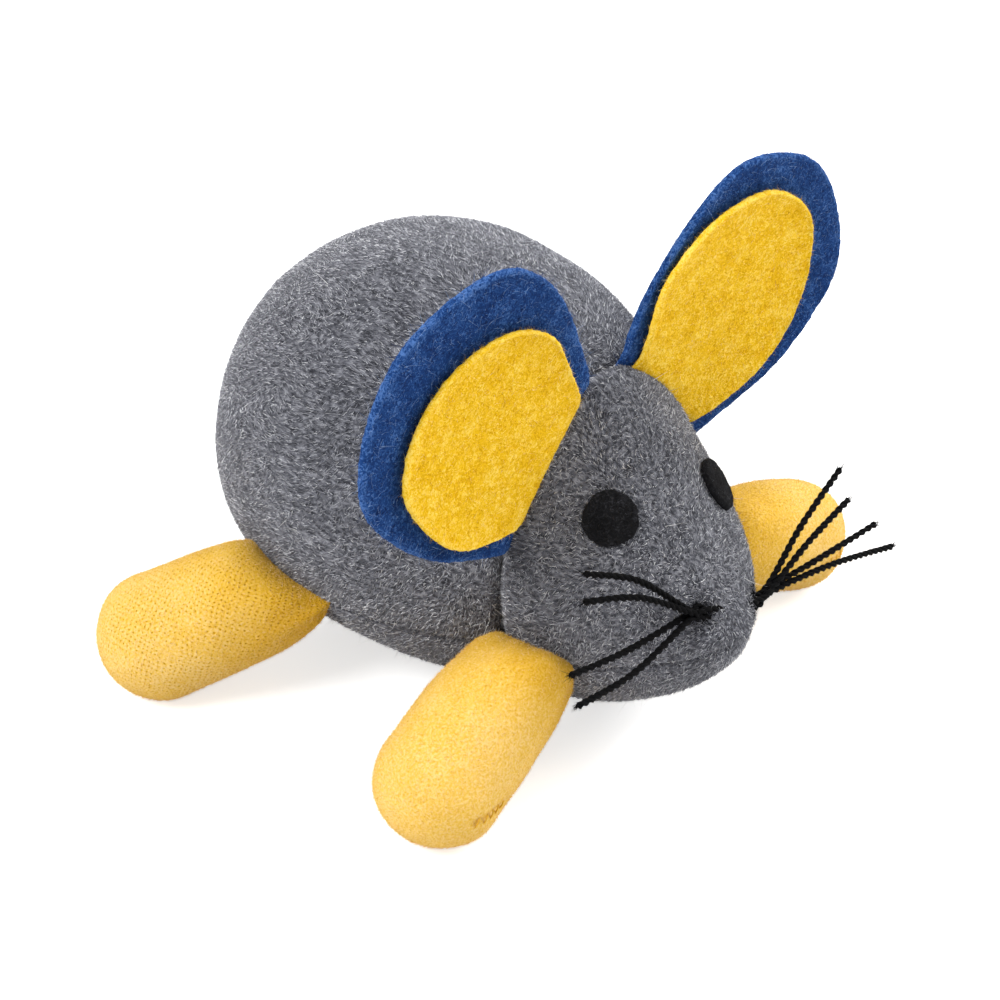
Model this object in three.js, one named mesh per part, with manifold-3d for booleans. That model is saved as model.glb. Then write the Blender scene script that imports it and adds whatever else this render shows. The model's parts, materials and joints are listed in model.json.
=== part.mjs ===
// Catnip mouse: a stuffed plush toy with a ball-shaped body, a tapered head, four stuffed
// jersey legs, two felt ears, felt eyes and whiskers of waxed thread drawn through the snout.
// Millimetres, +Z up, nose towards -Y, mouse's left towards +X. It lies on belly and toes,
// with the middle of its bounding box over the origin.

import * as THREE from 'three';
import { mergeVertices } from 'three/addons/utils/BufferGeometryUtils.js';
import ManifoldModule from 'manifold-3d';

const wasm = await ManifoldModule();
wasm.setup();

// Body: a ball that the neck seam cuts off in front
const body_half_width = 37.4;
const body_rear_length = 40;
const body_top_rise = 39.5;
const body_belly_drop = 32;
const rest_flat_depth = 0.5;

// Neck seam, as an upright ring ahead of the widest section
const neck_ahead = 34.2;
const neck_half_width = 23;
const neck_top_rise = 32.4;
const neck_bottom_drop = 29.8;

// Head: tapers from the neck seam to a rounded snout
const nose_ahead = 67.6;
const nose_height = 27.4;

// How far round the ball the neck cuts its sides, top and bottom, as shares of a quarter
const side_cut_share = 0.78;
const top_cut_share = 0.55;
const bottom_cut_share = 0.45;

// Fullness of the head's taper: the first power rounds it behind, the second at the snout
const head_side_powers = [1.8, 1.28];
const head_top_powers = [1.08, 1.1];

// Belly seam: its height over the ground along the toy
const seam_side_height = 21;
const seam_front_leg_height = 19.8;
const seam_rear_height = 25;
const seam_nose_height = 27;
const seam_chin_height = 23.6;
const front_leg_ahead = 40;
const rear_leg_ahead = -1.2;

// Fabrics and fit
const plush_thickness = 1.6;
const jersey_thickness = 0.8;
const gap = 0.3;
const overrun = 6;

// Legs: flat where they are sewn in, round at the toe
const leg_base_half_width = 8.2;
const leg_lip_half_thickness = 1.1;
const leg_lip_slot_half = 0.35;
const leg_width_swell_length = 7;
const leg_depth_swell_length = 14;
const front_leg_toe_radius = 10;
const rear_leg_toe_radius = 10.5;
const front_leg_reach = 25.8;
const rear_leg_reach = 23.4;
const front_leg_sweep_degrees = 4;
const rear_leg_sweep_degrees = -48;

// Ears: felt, standing in the neck seam
const ear_width = 46.7;
const ear_height = 46;
const ear_inner_width = 37.5;
const ear_inner_height = 38.6;
const ear_inner_base_lift = 0.5;
const ear_outer_thickness = 1.5;
const ear_inner_thickness = 1.2;
const ear_pinch_length = 4;
const ear_pinch_share = 0.4;
const ear_cup = 2;
const left_ear_inner_side_cup = 0.8;
const ear_base_clearance = 0.7;
const ear_seam_setback = 1.7;
const ear_inner_end_degrees = 82;
const left_ear_outer_end_degrees = 10;
const right_ear_outer_end_degrees = 15;
const left_ear_lean_degrees = 8;
const right_ear_lean_degrees = -3;

// Eyes: felt discs on the sides of the head
const eye_radius = 4.7;
const eye_thickness = 1;
const right_eye_ahead = 47.4;
const right_eye_rise_degrees = 53;
const left_eye_ahead = 50.2;
const left_eye_rise_degrees = 44;

// Whiskers: four threads through the snout
const whisker_diameter = 1;
const whisker_spacing = whisker_diameter + gap;
const whisker_length = 29;
const whisker_stem_length = 5;
const whisker_bow = 1.6;
const right_exit_out = 5.6;
const right_exit_setback = 5.6;
const right_exit_rise = 5.6;
const left_exit_out = 6;
const left_exit_setback = 4.1;
const left_exit_rise = 1.4;

// Catnip sachet: two sealed sheets round the dried leaf
const sachet_radius = 15;
const sachet_leaf_radius = 11.5;
const sachet_half_depth = 4.5;
const sachet_sheet_thickness = 0.6;
const sachet_ahead = -3;

// Facets
const skin_facets = { sides: 30, rear_rings: 9, front_rings: 7, head_rings: 12 };
const lining_facets = { sides: 20, rear_rings: 6, front_rings: 5, head_rings: 8 };
const limb_facets = { sides: 16, rings: 12 };
const limb_lining_facets = { sides: 10, rings: 6 };
const bore_sides = 12;
const thread_sides = 6;
const thread_steps = 26;
const seam_facets = 36;
const ear_base_steps = 6;
const ear_edge_steps = 26;
const eye_sides = 18;
const sachet_sides = 16;
const sachet_steps = 6;

// Where the rings of a felt sheet's faces lie, as shares of the way from its middle to its edge
const ear_outer_ring_shares = [1, 0.75, 0.4];
const ear_inner_ring_shares = [1, 0.7, 0.35];
const eye_ring_shares = [1, 0.6];

// A step along or round the skin that is short enough to measure its slope
const slope_share = 1 / 1000;

// The middle of the body section stands this high, so that the belly's flat is on the ground
const middle_height = body_belly_drop - rest_flat_depth;
const plan_shift = (nose_ahead - body_rear_length) / 2;

// A point by its place across the toy, ahead of the widest section and over the ground.
function place(across, ahead, height) {
  return new THREE.Vector3(across, plan_shift - ahead, height);
}

// Turns a closed mesh so that its faces point out.
function facingOut(points, indices) {
  const a = new THREE.Vector3();
  const b = new THREE.Vector3();
  let volume = 0;
  for (let i = 0; i < indices.length; i += 3) {
    a.copy(points[indices[i]]).cross(b.copy(points[indices[i + 1]]));
    volume += a.dot(points[indices[i + 2]]);
  }
  if (volume < 0) {
    for (let i = 0; i < indices.length; i += 3) {
      [indices[i + 1], indices[i + 2]] = [indices[i + 2], indices[i + 1]];
    }
  }
  const geometry = new THREE.BufferGeometry().setFromPoints(points);
  geometry.setIndex(indices);
  geometry.computeVertexNormals();
  return geometry;
}

// A turned or swept shape as one closed mesh with its faces out.
function turnedOut(geometry) {
  geometry.deleteAttribute('normal');
  geometry.deleteAttribute('uv');
  const merged = mergeVertices(geometry);
  const at = merged.attributes.position;
  const points = Array.from({ length: at.count },
    (_, i) => new THREE.Vector3().fromBufferAttribute(at, i));
  const indices = [...merged.index.array];
  const kept = [];
  for (let i = 0; i < indices.length; i += 3) {
    const [a, b, c] = indices.slice(i, i + 3);
    if (a !== b && b !== c && c !== a) kept.push(a, b, c);
  }
  return facingOut(points, kept);
}

// A closed skin through rings of points, with one point that closes each end.
function loft(rings, first, last) {
  const sides = rings[0].length;
  const points = [...rings.flat(), first, last];
  const indices = [];
  for (let side = 0; side < sides; side += 1) {
    const next = (side + 1) % sides;
    const end = (rings.length - 1) * sides;
    indices.push(points.length - 2, next, side);
    indices.push(points.length - 1, end + side, end + next);
    for (let ring = 0; ring < end; ring += sides) {
      indices.push(ring + side, ring + next, ring + sides + next);
      indices.push(ring + side, ring + sides + next, ring + sides + side);
    }
  }
  return facingOut(points, indices);
}

function solidOf(geometry) {
  const plain = geometry.clone();
  plain.deleteAttribute('normal');
  plain.deleteAttribute('uv');
  const merged = mergeVertices(plain);
  return new wasm.Manifold(new wasm.Mesh({
    numProp: 3,
    vertProperties: new Float32Array(merged.attributes.position.array),
    triVerts: new Uint32Array(merged.index.array),
  }));
}

function geometryOf(solid) {
  const { vertProperties, triVerts } = solid.getMesh();
  const geometry = new THREE.BufferGeometry();
  geometry.setAttribute('position', new THREE.BufferAttribute(vertProperties, 3));
  geometry.setIndex(new THREE.BufferAttribute(triVerts, 1));
  geometry.computeVertexNormals();
  return geometry;
}

function mean(points) {
  const middle = new THREE.Vector3();
  points.forEach((point) => middle.add(point));
  return middle.divideScalar(points.length);
}

// 0 to 1 with a level start and end.
function ease(share) {
  const s = Math.min(Math.max(share, 0), 1);
  return s * s * (3 - 2 * s);
}

// 1 at the ball's widest section, falling round its curve to 0 at the neck.
function ballFullness(share, cut_share) {
  const here = Math.sqrt(1 - (cut_share * share) ** 2);
  const neck = Math.sqrt(1 - cut_share ** 2);
  return (here - neck) / (1 - neck);
}

function headFullness(share, [behind, snout]) {
  return (1 - share ** behind) ** (1 / snout);
}

// Half width, rise, drop and middle height of the cross-section ahead of the widest one,
// with the skin drawn in by an inset.
function section(ahead, inset) {
  const width = body_half_width - inset;
  const rise = body_top_rise - inset;
  const drop = body_belly_drop - inset;
  const neck = [neck_half_width, neck_top_rise, neck_bottom_drop].map((size) => size - inset);
  if (ahead <= 0) {
    const share = Math.min(-ahead / (body_rear_length - inset), 1);
    const full = Math.sqrt(1 - share ** 2);
    return { width: width * full, rise: rise * full, drop: drop * full, middle: middle_height };
  }
  if (ahead <= neck_ahead) {
    const share = ahead / neck_ahead;
    return {
      width: neck[0] + (width - neck[0]) * ballFullness(share, side_cut_share),
      rise: neck[1] + (rise - neck[1]) * ballFullness(share, top_cut_share),
      drop: neck[2] + (drop - neck[2]) * ballFullness(share, bottom_cut_share),
      middle: middle_height,
    };
  }
  const share = Math.min((ahead - neck_ahead) / (nose_ahead - inset - neck_ahead), 1);
  const full = headFullness(share, head_side_powers);
  return {
    width: neck[0] * full,
    rise: neck[1] * headFullness(share, head_top_powers),
    drop: neck[2] * full,
    middle: middle_height + (nose_height - middle_height) * share,
  };
}

// A point of the skin by its section and its angle up from the mouse's left side.
function skinPoint(ahead, angle, inset) {
  const { width, rise, drop, middle } = section(ahead, inset);
  const up = Math.sin(angle);
  return place(width * Math.cos(angle), ahead, middle + (up > 0 ? rise : drop) * up);
}

function skinNormal(ahead, angle) {
  const here = skinPoint(ahead, angle, 0);
  const forward = skinPoint(ahead + neck_ahead * slope_share, angle, 0).sub(here);
  const round = skinPoint(ahead, angle + slope_share, 0).sub(here);
  return round.cross(forward).normalize();
}

// Half width of the toy at a height below its middle line.
function skinHalfWidth(ahead, height) {
  const { width, drop, middle } = section(ahead, 0);
  const share = Math.min(Math.abs(height - middle) / drop, 1);
  return width * Math.sqrt(1 - share ** 2);
}

// The whole toy's body and head as one solid, drawn in by an inset.
function toySolid(inset, { sides, rear_rings, front_rings, head_rings }) {
  const rear = body_rear_length - inset;
  const nose = nose_ahead - inset;
  const stations = [];
  for (let i = 1; i <= rear_rings; i += 1) {
    stations.push(-rear * Math.cos((i / rear_rings) * Math.PI / 2));
  }
  for (let i = 1; i <= front_rings; i += 1) {
    stations.push(neck_ahead * (i / front_rings));
  }
  for (let i = 1; i < head_rings; i += 1) {
    stations.push(neck_ahead + (nose - neck_ahead) * Math.sin((i / head_rings) * Math.PI / 2));
  }
  const rings = stations.map((ahead) => Array.from({ length: sides },
    (_, side) => skinPoint(ahead, (side / sides) * 2 * Math.PI, inset)));
  const tail = skinPoint(-rear, 0, inset);
  const tip = skinPoint(nose, 0, inset);
  return solidOf(loft(rings, tail, tip)).subtract(below(0));
}

// A block between two corners given as across, ahead and height.
function block(low, high) {
  const geometry = new THREE.BoxGeometry(high[0] - low[0], high[1] - low[1], high[2] - low[2]);
  const middle = low.map((value, i) => (value + high[i]) / 2);
  geometry.translate(middle[0], plan_shift - middle[1], middle[2]);
  return solidOf(geometry);
}

const far_out = body_half_width + nose_ahead;

// Everything below a level plane.
function below(height) {
  return block([-far_out, -far_out, -far_out], [far_out, far_out, height]);
}

// Everything behind a plane square to the toy's length.
function behind(ahead) {
  return block([-far_out, -far_out, -far_out], [far_out, ahead, far_out]);
}

// The belly seam's height over the ground, from the rear to the nose.
const seam_line = new THREE.SplineCurve([
  [-body_rear_length - overrun, seam_rear_height + overrun / 2],
  [-body_rear_length, seam_rear_height],
  [-body_rear_length / 2, (seam_rear_height + 3 * seam_side_height) / 4],
  [rear_leg_ahead, seam_side_height],
  [(rear_leg_ahead + front_leg_ahead) / 2, seam_side_height],
  [front_leg_ahead, seam_front_leg_height],
  [(2 * front_leg_ahead + nose_ahead) / 3, (3 * seam_front_leg_height + seam_chin_height) / 4],
  [(front_leg_ahead + 3 * nose_ahead) / 4, seam_chin_height],
  [nose_ahead, seam_nose_height],
  [nose_ahead + overrun, seam_nose_height + overrun / 2],
].map(([ahead, height]) => new THREE.Vector2(ahead, height)));

function seamHeight(ahead) {
  const points = seam_line.getPoints(seam_facets);
  const after = points.findIndex((point) => point.x >= ahead);
  const [low, high] = [points[after - 1], points[after]];
  return low.y + (high.y - low.y) * (ahead - low.x) / (high.x - low.x);
}

// Everything under the belly seam, moved up or down by half a gap.
function underSeam(raise) {
  const line = seam_line.getPoints(seam_facets);
  const outline = line.map((point) => new THREE.Vector2(point.x, point.y + raise));
  outline.push(new THREE.Vector2(line.at(-1).x, -overrun));
  outline.push(new THREE.Vector2(line[0].x, -overrun));
  const across = body_half_width + overrun;
  const geometry = new THREE.ExtrudeGeometry(new THREE.Shape(outline),
    { depth: 2 * across, bevelEnabled: false });
  const basis = new THREE.Matrix4().makeBasis(
    new THREE.Vector3(0, -1, 0), new THREE.Vector3(0, 0, 1), new THREE.Vector3(-1, 0, 0));
  geometry.applyMatrix4(basis);
  geometry.translate(across, plan_shift, 0);
  return solidOf(geometry);
}

// Whisker threads: the exits, the spread of the tips as shares of the whisker's length
// (out, ahead, up), and how far each one bows up
const whisker_tip_shares = {
  right: [[0.68, -0.26, 0.48], [0.75, -0.24, 0.37], [0.93, -0.11, 0.07], [0.97, -0.06, -0.06]],
  left: [[0.93, -0.11, 0.33], [0.88, -0.04, 0.2], [0.99, 0.14, 0.08], [1.2, 0.1, -0.2]],
};
const whisker_bow_shares = { right: [1, 1, -0.4, -0.9], left: [-0.2, 0.2, 0.1, -0.2] };
const whisker_seat_shares = [[-0.5, 0.5], [0.5, 0.5], [-0.5, -0.5], [0.5, -0.5]];

const exit_points = {
  right: place(-right_exit_out, nose_ahead - right_exit_setback, nose_height + right_exit_rise),
  left: place(left_exit_out, nose_ahead - left_exit_setback, nose_height + left_exit_rise),
};

// The straight bore for the threads, through the snout from one exit to the other.
function whiskerBore() {
  const radius = (whisker_spacing * Math.SQRT2 + whisker_diameter) / 2 + gap;
  const along = exit_points.left.clone().sub(exit_points.right);
  const geometry = new THREE.CylinderGeometry(radius, radius, along.length() + 2 * overrun,
    bore_sides);
  geometry.applyQuaternion(new THREE.Quaternion().setFromUnitVectors(
    new THREE.Vector3(0, 1, 0), along.clone().normalize()));
  const middle = mean([exit_points.left, exit_points.right]);
  geometry.translate(middle.x, middle.y, middle.z);
  return solidOf(geometry);
}

function whiskerThread(index) {
  const along = exit_points.left.clone().sub(exit_points.right).normalize();
  const up = new THREE.Vector3(0, 0, 1).projectOnPlane(along).normalize();
  const forward = along.clone().cross(up).normalize();
  if (forward.y > 0) forward.negate();
  const [forward_share, up_share] = whisker_seat_shares[index];
  const seat = forward.multiplyScalar(forward_share * whisker_spacing)
    .add(up.multiplyScalar(up_share * whisker_spacing));
  const free_end = (side) => {
    const sign = side === 'left' ? 1 : -1;
    const root = exit_points[side].clone().add(seat);
    const [out_share, ahead_share, up_share_at_tip] = whisker_tip_shares[side][index];
    const reach = new THREE.Vector3(sign * out_share, -ahead_share, up_share_at_tip)
      .multiplyScalar(whisker_length);
    const stem = root.clone().addScaledVector(along, sign * whisker_stem_length / 2);
    const bow = new THREE.Vector3(0, 0, whisker_bow * whisker_bow_shares[side][index]);
    const middle = root.clone().addScaledVector(reach, 1 / 2).add(bow);
    return [root, stem, middle, root.clone().add(reach)];
  };
  const route = [...free_end('right').reverse(), ...free_end('left')];
  const section_shape = new THREE.Shape(Array.from({ length: thread_sides }, (_, corner) => {
    const angle = (corner / thread_sides) * 2 * Math.PI;
    return new THREE.Vector2(Math.cos(angle), Math.sin(angle)).multiplyScalar(whisker_diameter / 2);
  }));
  return new THREE.ExtrudeGeometry(section_shape,
    { steps: thread_steps, bevelEnabled: false, extrudePath: new THREE.CatmullRomCurve3(route) });
}

// A leg's place: the hinge line along the belly seam, and the way down to the toe.
function legPlace(side, { ahead, reach, toe_radius, sweep_degrees }) {
  const toe_height = toe_radius - rest_flat_depth;
  const seam_point = (offset) => {
    const height = seamHeight(ahead + offset);
    return place(side * skinHalfWidth(ahead + offset, height), ahead + offset, height);
  };
  const back_end = seam_point(-leg_base_half_width);
  const front_end = seam_point(leg_base_half_width);
  const along = front_end.clone().sub(back_end).normalize();
  const out = new THREE.Vector3(side, 0, 0).projectOnPlane(along).normalize();
  const samples = [-1, -0.5, 0, 0.5, 1].map((share) => seam_point(share * leg_base_half_width));
  const middle = mean([back_end, front_end]);
  const proud = Math.max(...samples.map((point) => point.sub(middle).dot(out)));
  const hinge = middle.addScaledVector(out, proud + gap + leg_lip_half_thickness);
  const drop = hinge.z - toe_height;
  const level = Math.sqrt(reach ** 2 - drop ** 2);
  const sweep = THREE.MathUtils.degToRad(sweep_degrees);
  const way = new THREE.Vector3(side * level * Math.cos(sweep), -level * Math.sin(sweep), -drop);
  const axis = along.clone().multiplyScalar(side);
  return { hinge, along, out, axis, way: way.normalize(), reach, toe_radius };
}

// A leg's solid: a flat lip on the hinge line that swells to a round toe. A hollow runs out
// through the lip, so that the leg's sewn end stays a slot, and a filling leaves that end out.
function limbSolid({ hinge, along, out, way, reach, toe_radius },
  { inset, end, lip, sides, rings }) {
  const deep = way.clone().cross(along).normalize();
  const across = along.clone().projectOnPlane(way).normalize();
  const toe = toe_radius - inset;
  const base = leg_base_half_width - inset;
  const ring = (centre, width_way, half_width, half_depth) => Array.from({ length: sides },
    (_, side) => {
      const angle = (side / sides) * 2 * Math.PI;
      return centre.clone().addScaledVector(width_way, half_width * Math.cos(angle))
        .addScaledVector(deep, half_depth * Math.sin(angle));
    });
  const list = [];
  if (end === 'hollow') {
    list.push(ring(hinge.clone().addScaledVector(out, -overrun), along, base, lip));
  }
  if (end === 'lip') {
    [1, 1 / 2].forEach((share) => {
      const bend = share * Math.PI / 3;
      const centre = hinge.clone().addScaledVector(out, -lip * Math.sin(bend));
      list.push(ring(centre, along, base, lip * Math.cos(bend)));
    });
  }
  const stations = [];
  for (let i = end === 'filling' ? 1 : 0; i <= rings; i += 1) {
    stations.push(reach * (i / rings));
  }
  for (let i = 1; i < rings / 2; i += 1) {
    stations.push(reach + toe * Math.sin((i / (rings / 2)) * Math.PI / 2));
  }
  stations.forEach((x) => {
    const wide = ease(x / leg_width_swell_length);
    const deep_share = ease(x / leg_depth_swell_length);
    const round = Math.sqrt(1 - (Math.max(x - reach, 0) / toe) ** 2);
    const width_way = along.clone().lerp(across, wide).normalize();
    list.push(ring(hinge.clone().addScaledVector(way, x), width_way,
      (base + (toe - base) * wide) * round, (lip + (toe - lip) * deep_share) * round));
  });
  const tip = hinge.clone().addScaledVector(way, reach + toe);
  return solidOf(loft(list, mean(list[0]), tip)).subtract(below(0));
}

function legCover(leg) {
  const outer = limbSolid(leg, {
    inset: 0,
    end: 'lip',
    lip: leg_lip_half_thickness,
    ...limb_facets,
  });
  const hollow = limbSolid(leg, {
    inset: jersey_thickness,
    end: 'hollow',
    lip: leg_lip_slot_half,
    ...limb_lining_facets,
  });
  return geometryOf(outer.subtract(hollow));
}

function legFilling(leg) {
  return geometryOf(limbSolid(leg, {
    inset: jersey_thickness + gap,
    end: 'filling',
    lip: leg_lip_slot_half - gap,
    ...limb_lining_facets,
  }));
}

// A closed sheet from an outline: both faces are rings of the outline drawn in towards a
// middle point, and the two functions give the height of the back and front face.
function feltSheet(outline, middle, ring_shares, heights, to_space) {
  const count = outline.length;
  const points = [];
  const indices = [];
  heights.forEach((height) => {
    ring_shares.forEach((share) => outline.forEach((point) => {
      const flat = middle.clone().lerp(point, share);
      points.push(to_space(flat, height(flat)));
    }));
    points.push(to_space(middle, height(middle)));
  });
  const face = ring_shares.length * count + 1;
  for (let i = 0; i < count; i += 1) {
    const next = (i + 1) % count;
    indices.push(i, next, face + next, i, face + next, face + i);
    for (let ring = 0; ring < ring_shares.length - 1; ring += 1) {
      const a = ring * count;
      const b = a + count;
      indices.push(a + next, a + i, b + i, a + next, b + i, b + next);
      indices.push(face + a + i, face + a + next, face + b + next);
      indices.push(face + a + i, face + b + next, face + b + i);
    }
    const last = (ring_shares.length - 1) * count;
    indices.push(last + next, last + i, face - 1);
    indices.push(face + last + i, face + last + next, 2 * face - 1);
  }
  return facingOut(points, indices);
}

// Ear outlines over the sewn base, as shares of the ear's width and height from the middle
// of the base: from the outer end of the base round the tip to its inner end
const ear_outline_shares = [
  [0.41, 0.33], [0.4, 0.64], [0.305, 0.875], [0.045, 1], [-0.245, 0.995],
  [-0.53, 0.81], [-0.58, 0.575], [-0.485, 0.27],
];
const right_ear_inner_outline_shares = [
  [0.43, 0.37], [0.415, 0.63], [0.29, 0.885], [0.03, 0.975], [-0.25, 0.925], [-0.47, 0.745],
  [-0.525, 0.5], [-0.43, 0.27],
];
const left_ear_inner_outline_shares = [
  [0.39, 0.36], [0.365, 0.63], [0.2, 0.88], [-0.1, 1.035], [-0.455, 0.95], [-0.65, 0.68],
  [-0.62, 0.36],
];
const right_ear_inner_base_shares = [-0.72, 0.72];
const left_ear_inner_base_shares = [-0.86, 0.72];

// An ear's place: the chord of its sewn base, square out from the neck, and its front.
function earPlace(side, { outer_end_degrees, lean_degrees, inner_side_cup, inner_outline, inner_base }) {
  const seat = neck_ahead + ear_seam_setback;
  const ends = [ear_inner_end_degrees, outer_end_degrees].map((degrees) => {
    const angle = THREE.MathUtils.degToRad(degrees);
    return place(side * (neck_half_width + ear_base_clearance) * Math.cos(angle), seat,
      middle_height + (neck_top_rise + ear_base_clearance) * Math.sin(angle));
  });
  const chord = ends[1].clone().sub(ends[0]);
  const along = chord.clone().normalize();
  const forward = new THREE.Vector3(0, -1, 0);
  const up = along.clone().cross(forward).multiplyScalar(-side).normalize();
  const base = (share) => {
    const degrees = ear_inner_end_degrees + (outer_end_degrees - ear_inner_end_degrees) * share;
    const angle = THREE.MathUtils.degToRad(degrees);
    const point = place(side * (neck_half_width + ear_base_clearance) * Math.cos(angle), seat,
      middle_height + (neck_top_rise + ear_base_clearance) * Math.sin(angle));
    point.sub(mean(ends));
    return new THREE.Vector2(point.dot(along), point.dot(up));
  };
  const bulge = base(1 / 2).y;
  const lean = THREE.MathUtils.degToRad(lean_degrees);
  const out = up.clone().multiplyScalar(Math.cos(lean)).addScaledVector(forward, Math.sin(lean));
  const front = forward.clone().multiplyScalar(Math.cos(lean)).addScaledVector(up, -Math.sin(lean));
  const hinge = mean(ends).addScaledVector(up, bulge);
  const to_space = (flat, height) => hinge.clone().addScaledVector(along, flat.x)
    .addScaledVector(out, flat.y - bulge).addScaledVector(front, height);
  const axis = along.clone().multiplyScalar(side);
  return { hinge, axis, base, to_space, inner_side_cup, inner_outline, inner_base };
}

function earOutline(base_range, base_lift, outline_shares, width, height, base) {
  const [from, to] = base_range;
  const sewn = [];
  for (let i = 0; i <= ear_base_steps; i += 1) {
    const share = from + (to - from) * (i / ear_base_steps);
    sewn.push(base(share).add(new THREE.Vector2(0, base_lift)));
  }
  const free = outline_shares.map(([u, v]) => new THREE.Vector2(u * width, v * height));
  const edge = new THREE.SplineCurve([sewn.at(-1), ...free, sewn[0]]).getPoints(ear_edge_steps);
  return [...sewn.slice(0, -1), ...edge.slice(0, -1)];
}

// Height of the ear's middle surface: its sides curl forward, and its sewn edge is flat.
function earCurl(flat, inner_side_cup) {
  const side = flat.x / (ear_width / 2);
  const cup = side < 0 ? inner_side_cup : ear_cup;
  return cup * side * side * ease(flat.y / (ear_height / 2));
}

function earPinch(flat) {
  return ear_pinch_share + (1 - ear_pinch_share) * ease(flat.y / ear_pinch_length);
}

function earOuter({ base, to_space, inner_side_cup }) {
  const outline = earOutline([0, 1], 0, ear_outline_shares, ear_width, ear_height, base);
  const middle = new THREE.Vector2(0, ear_height / 2);
  const front = (flat) => earCurl(flat, inner_side_cup) - gap / 2;
  const back = (flat) => front(flat) - ear_outer_thickness * earPinch(flat);
  return feltSheet(outline, middle, ear_outer_ring_shares, [back, front], to_space);
}

function earInner({ base, to_space, inner_side_cup, inner_outline, inner_base }) {
  const range = inner_base.map((share) => 0.5 + share / 2);
  const outline = earOutline(range, ear_inner_base_lift, inner_outline,
    ear_inner_width, ear_inner_height, base);
  const middle = new THREE.Vector2(0, ear_inner_height / 2);
  const back = (flat) => earCurl(flat, inner_side_cup) + gap / 2;
  const front = (flat) => back(flat) + ear_inner_thickness * earPinch(flat);
  return feltSheet(outline, middle, ear_inner_ring_shares, [back, front], to_space);
}

// A felt eye that lies on the curve of the head.
function eyeDisc(side, ahead, rise_degrees) {
  const angle = THREE.MathUtils.degToRad(rise_degrees);
  const here = skinPoint(ahead, angle, 0);
  const step = neck_ahead * slope_share;
  const forward = skinPoint(ahead + step, angle, 0).sub(here).divideScalar(step);
  const turn = skinPoint(ahead, angle + slope_share, 0).sub(here).divideScalar(slope_share);
  const forward_rate = forward.length();
  const skew = turn.dot(forward) / forward_rate;
  const turn_rate = Math.sqrt(turn.lengthSq() - skew ** 2);
  const outline = Array.from({ length: eye_sides }, (_, i) => {
    const round = (i / eye_sides) * 2 * Math.PI;
    return new THREE.Vector2(Math.cos(round), Math.sin(round)).multiplyScalar(eye_radius);
  });
  const to_space = (flat, height) => {
    const turned = flat.y / turn_rate;
    const at_angle = angle + turned;
    const at_ahead = ahead + (flat.x - skew * turned) / forward_rate;
    const point = skinPoint(at_ahead, at_angle, 0)
      .addScaledVector(skinNormal(at_ahead, at_angle), height);
    point.x *= side;
    return point;
  };
  return feltSheet(outline, new THREE.Vector2(), eye_ring_shares,
    [() => gap, () => gap + eye_thickness], to_space);
}

// Sachet sheet: a shallow dish with a flat rim, up or down.
function sachetSheet(up) {
  const rise = sachet_half_depth + gap;
  const at = (radius, height) => new THREE.Vector2(radius, height);
  const under = [];
  for (let i = 0; i <= sachet_steps; i += 1) {
    const share = i / sachet_steps;
    under.push(at(sachet_leaf_radius * share, gap / 2 + rise * (1 - ease(share))));
  }
  under.push(at(sachet_radius, gap / 2));
  const over = under.map((point) => at(point.x, point.y + sachet_sheet_thickness));
  const profile = [...under, ...over.reverse()];
  return sachetTurned(new THREE.LatheGeometry(profile, sachet_sides), up);
}

function sachetLeaf() {
  const upper = [];
  for (let i = 0; i < sachet_steps; i += 1) {
    const share = i / sachet_steps;
    upper.push(new THREE.Vector2(sachet_leaf_radius * share, sachet_half_depth * (1 - ease(share))));
  }
  const lower = upper.map((point) => new THREE.Vector2(point.x, -point.y)).reverse();
  return sachetTurned(new THREE.LatheGeometry([...upper, ...lower], sachet_sides), 1);
}

function sachetTurned(geometry, up) {
  geometry.rotateX(up * Math.PI / 2);
  const centre = place(0, sachet_ahead, middle_height);
  geometry.translate(centre.x, centre.y, centre.z);
  return turnedOut(geometry);
}

const toy = new THREE.Group();

function add(parent, name, geometry, color, roughness) {
  const material = new THREE.MeshStandardMaterial({ color, roughness, metalness: 0 });
  const mesh = new THREE.Mesh(geometry, material);
  mesh.name = name;
  parent.add(mesh);
}

// A group that swings on a sewn seam: its origin is on the seam and its X axis along it, so
// that a positive turn about X raises a leg or folds an ear forward.
function hinged(hinge, axis) {
  const group = new THREE.Group();
  group.position.copy(hinge);
  group.quaternion.setFromUnitVectors(new THREE.Vector3(1, 0, 0), axis);
  group.updateMatrixWorld();
  toy.add(group);
  return group;
}

// Adds a piece that was shaped in the toy's frame to a hinged group.
function addHinged(group, name, geometry, color, roughness) {
  geometry.applyMatrix4(group.matrixWorld.clone().invert());
  add(group, name, geometry, color, roughness);
}

const plush_gray = 0x6b6d74;
const jersey_yellow = 0xf7cb4e;
const felt_blue = 0x1f4387;
const felt_yellow = 0xf0bd1d;
const thread_black = 0x1b1b1d;
const fibre_white = 0xe9e7e0;
const leaf_green = 0x7c7d4c;
const sachet_white = 0xdedbd0;

// Plush panels
const skin = toySolid(0, skin_facets);
const lining = toySolid(plush_thickness, lining_facets);
const bore = whiskerBore();
const shell = skin.subtract(lining).subtract(bore);
const over_seam = shell.subtract(underSeam(gap / 2));
add(toy, 'back_panel', geometryOf(over_seam.intersect(behind(neck_ahead - gap / 2))), plush_gray, 1);
add(toy, 'head_panel', geometryOf(over_seam.subtract(behind(neck_ahead + gap / 2))), plush_gray, 1);
add(toy, 'belly_panel', geometryOf(shell.intersect(underSeam(-gap / 2))), plush_gray, 1);

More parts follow.
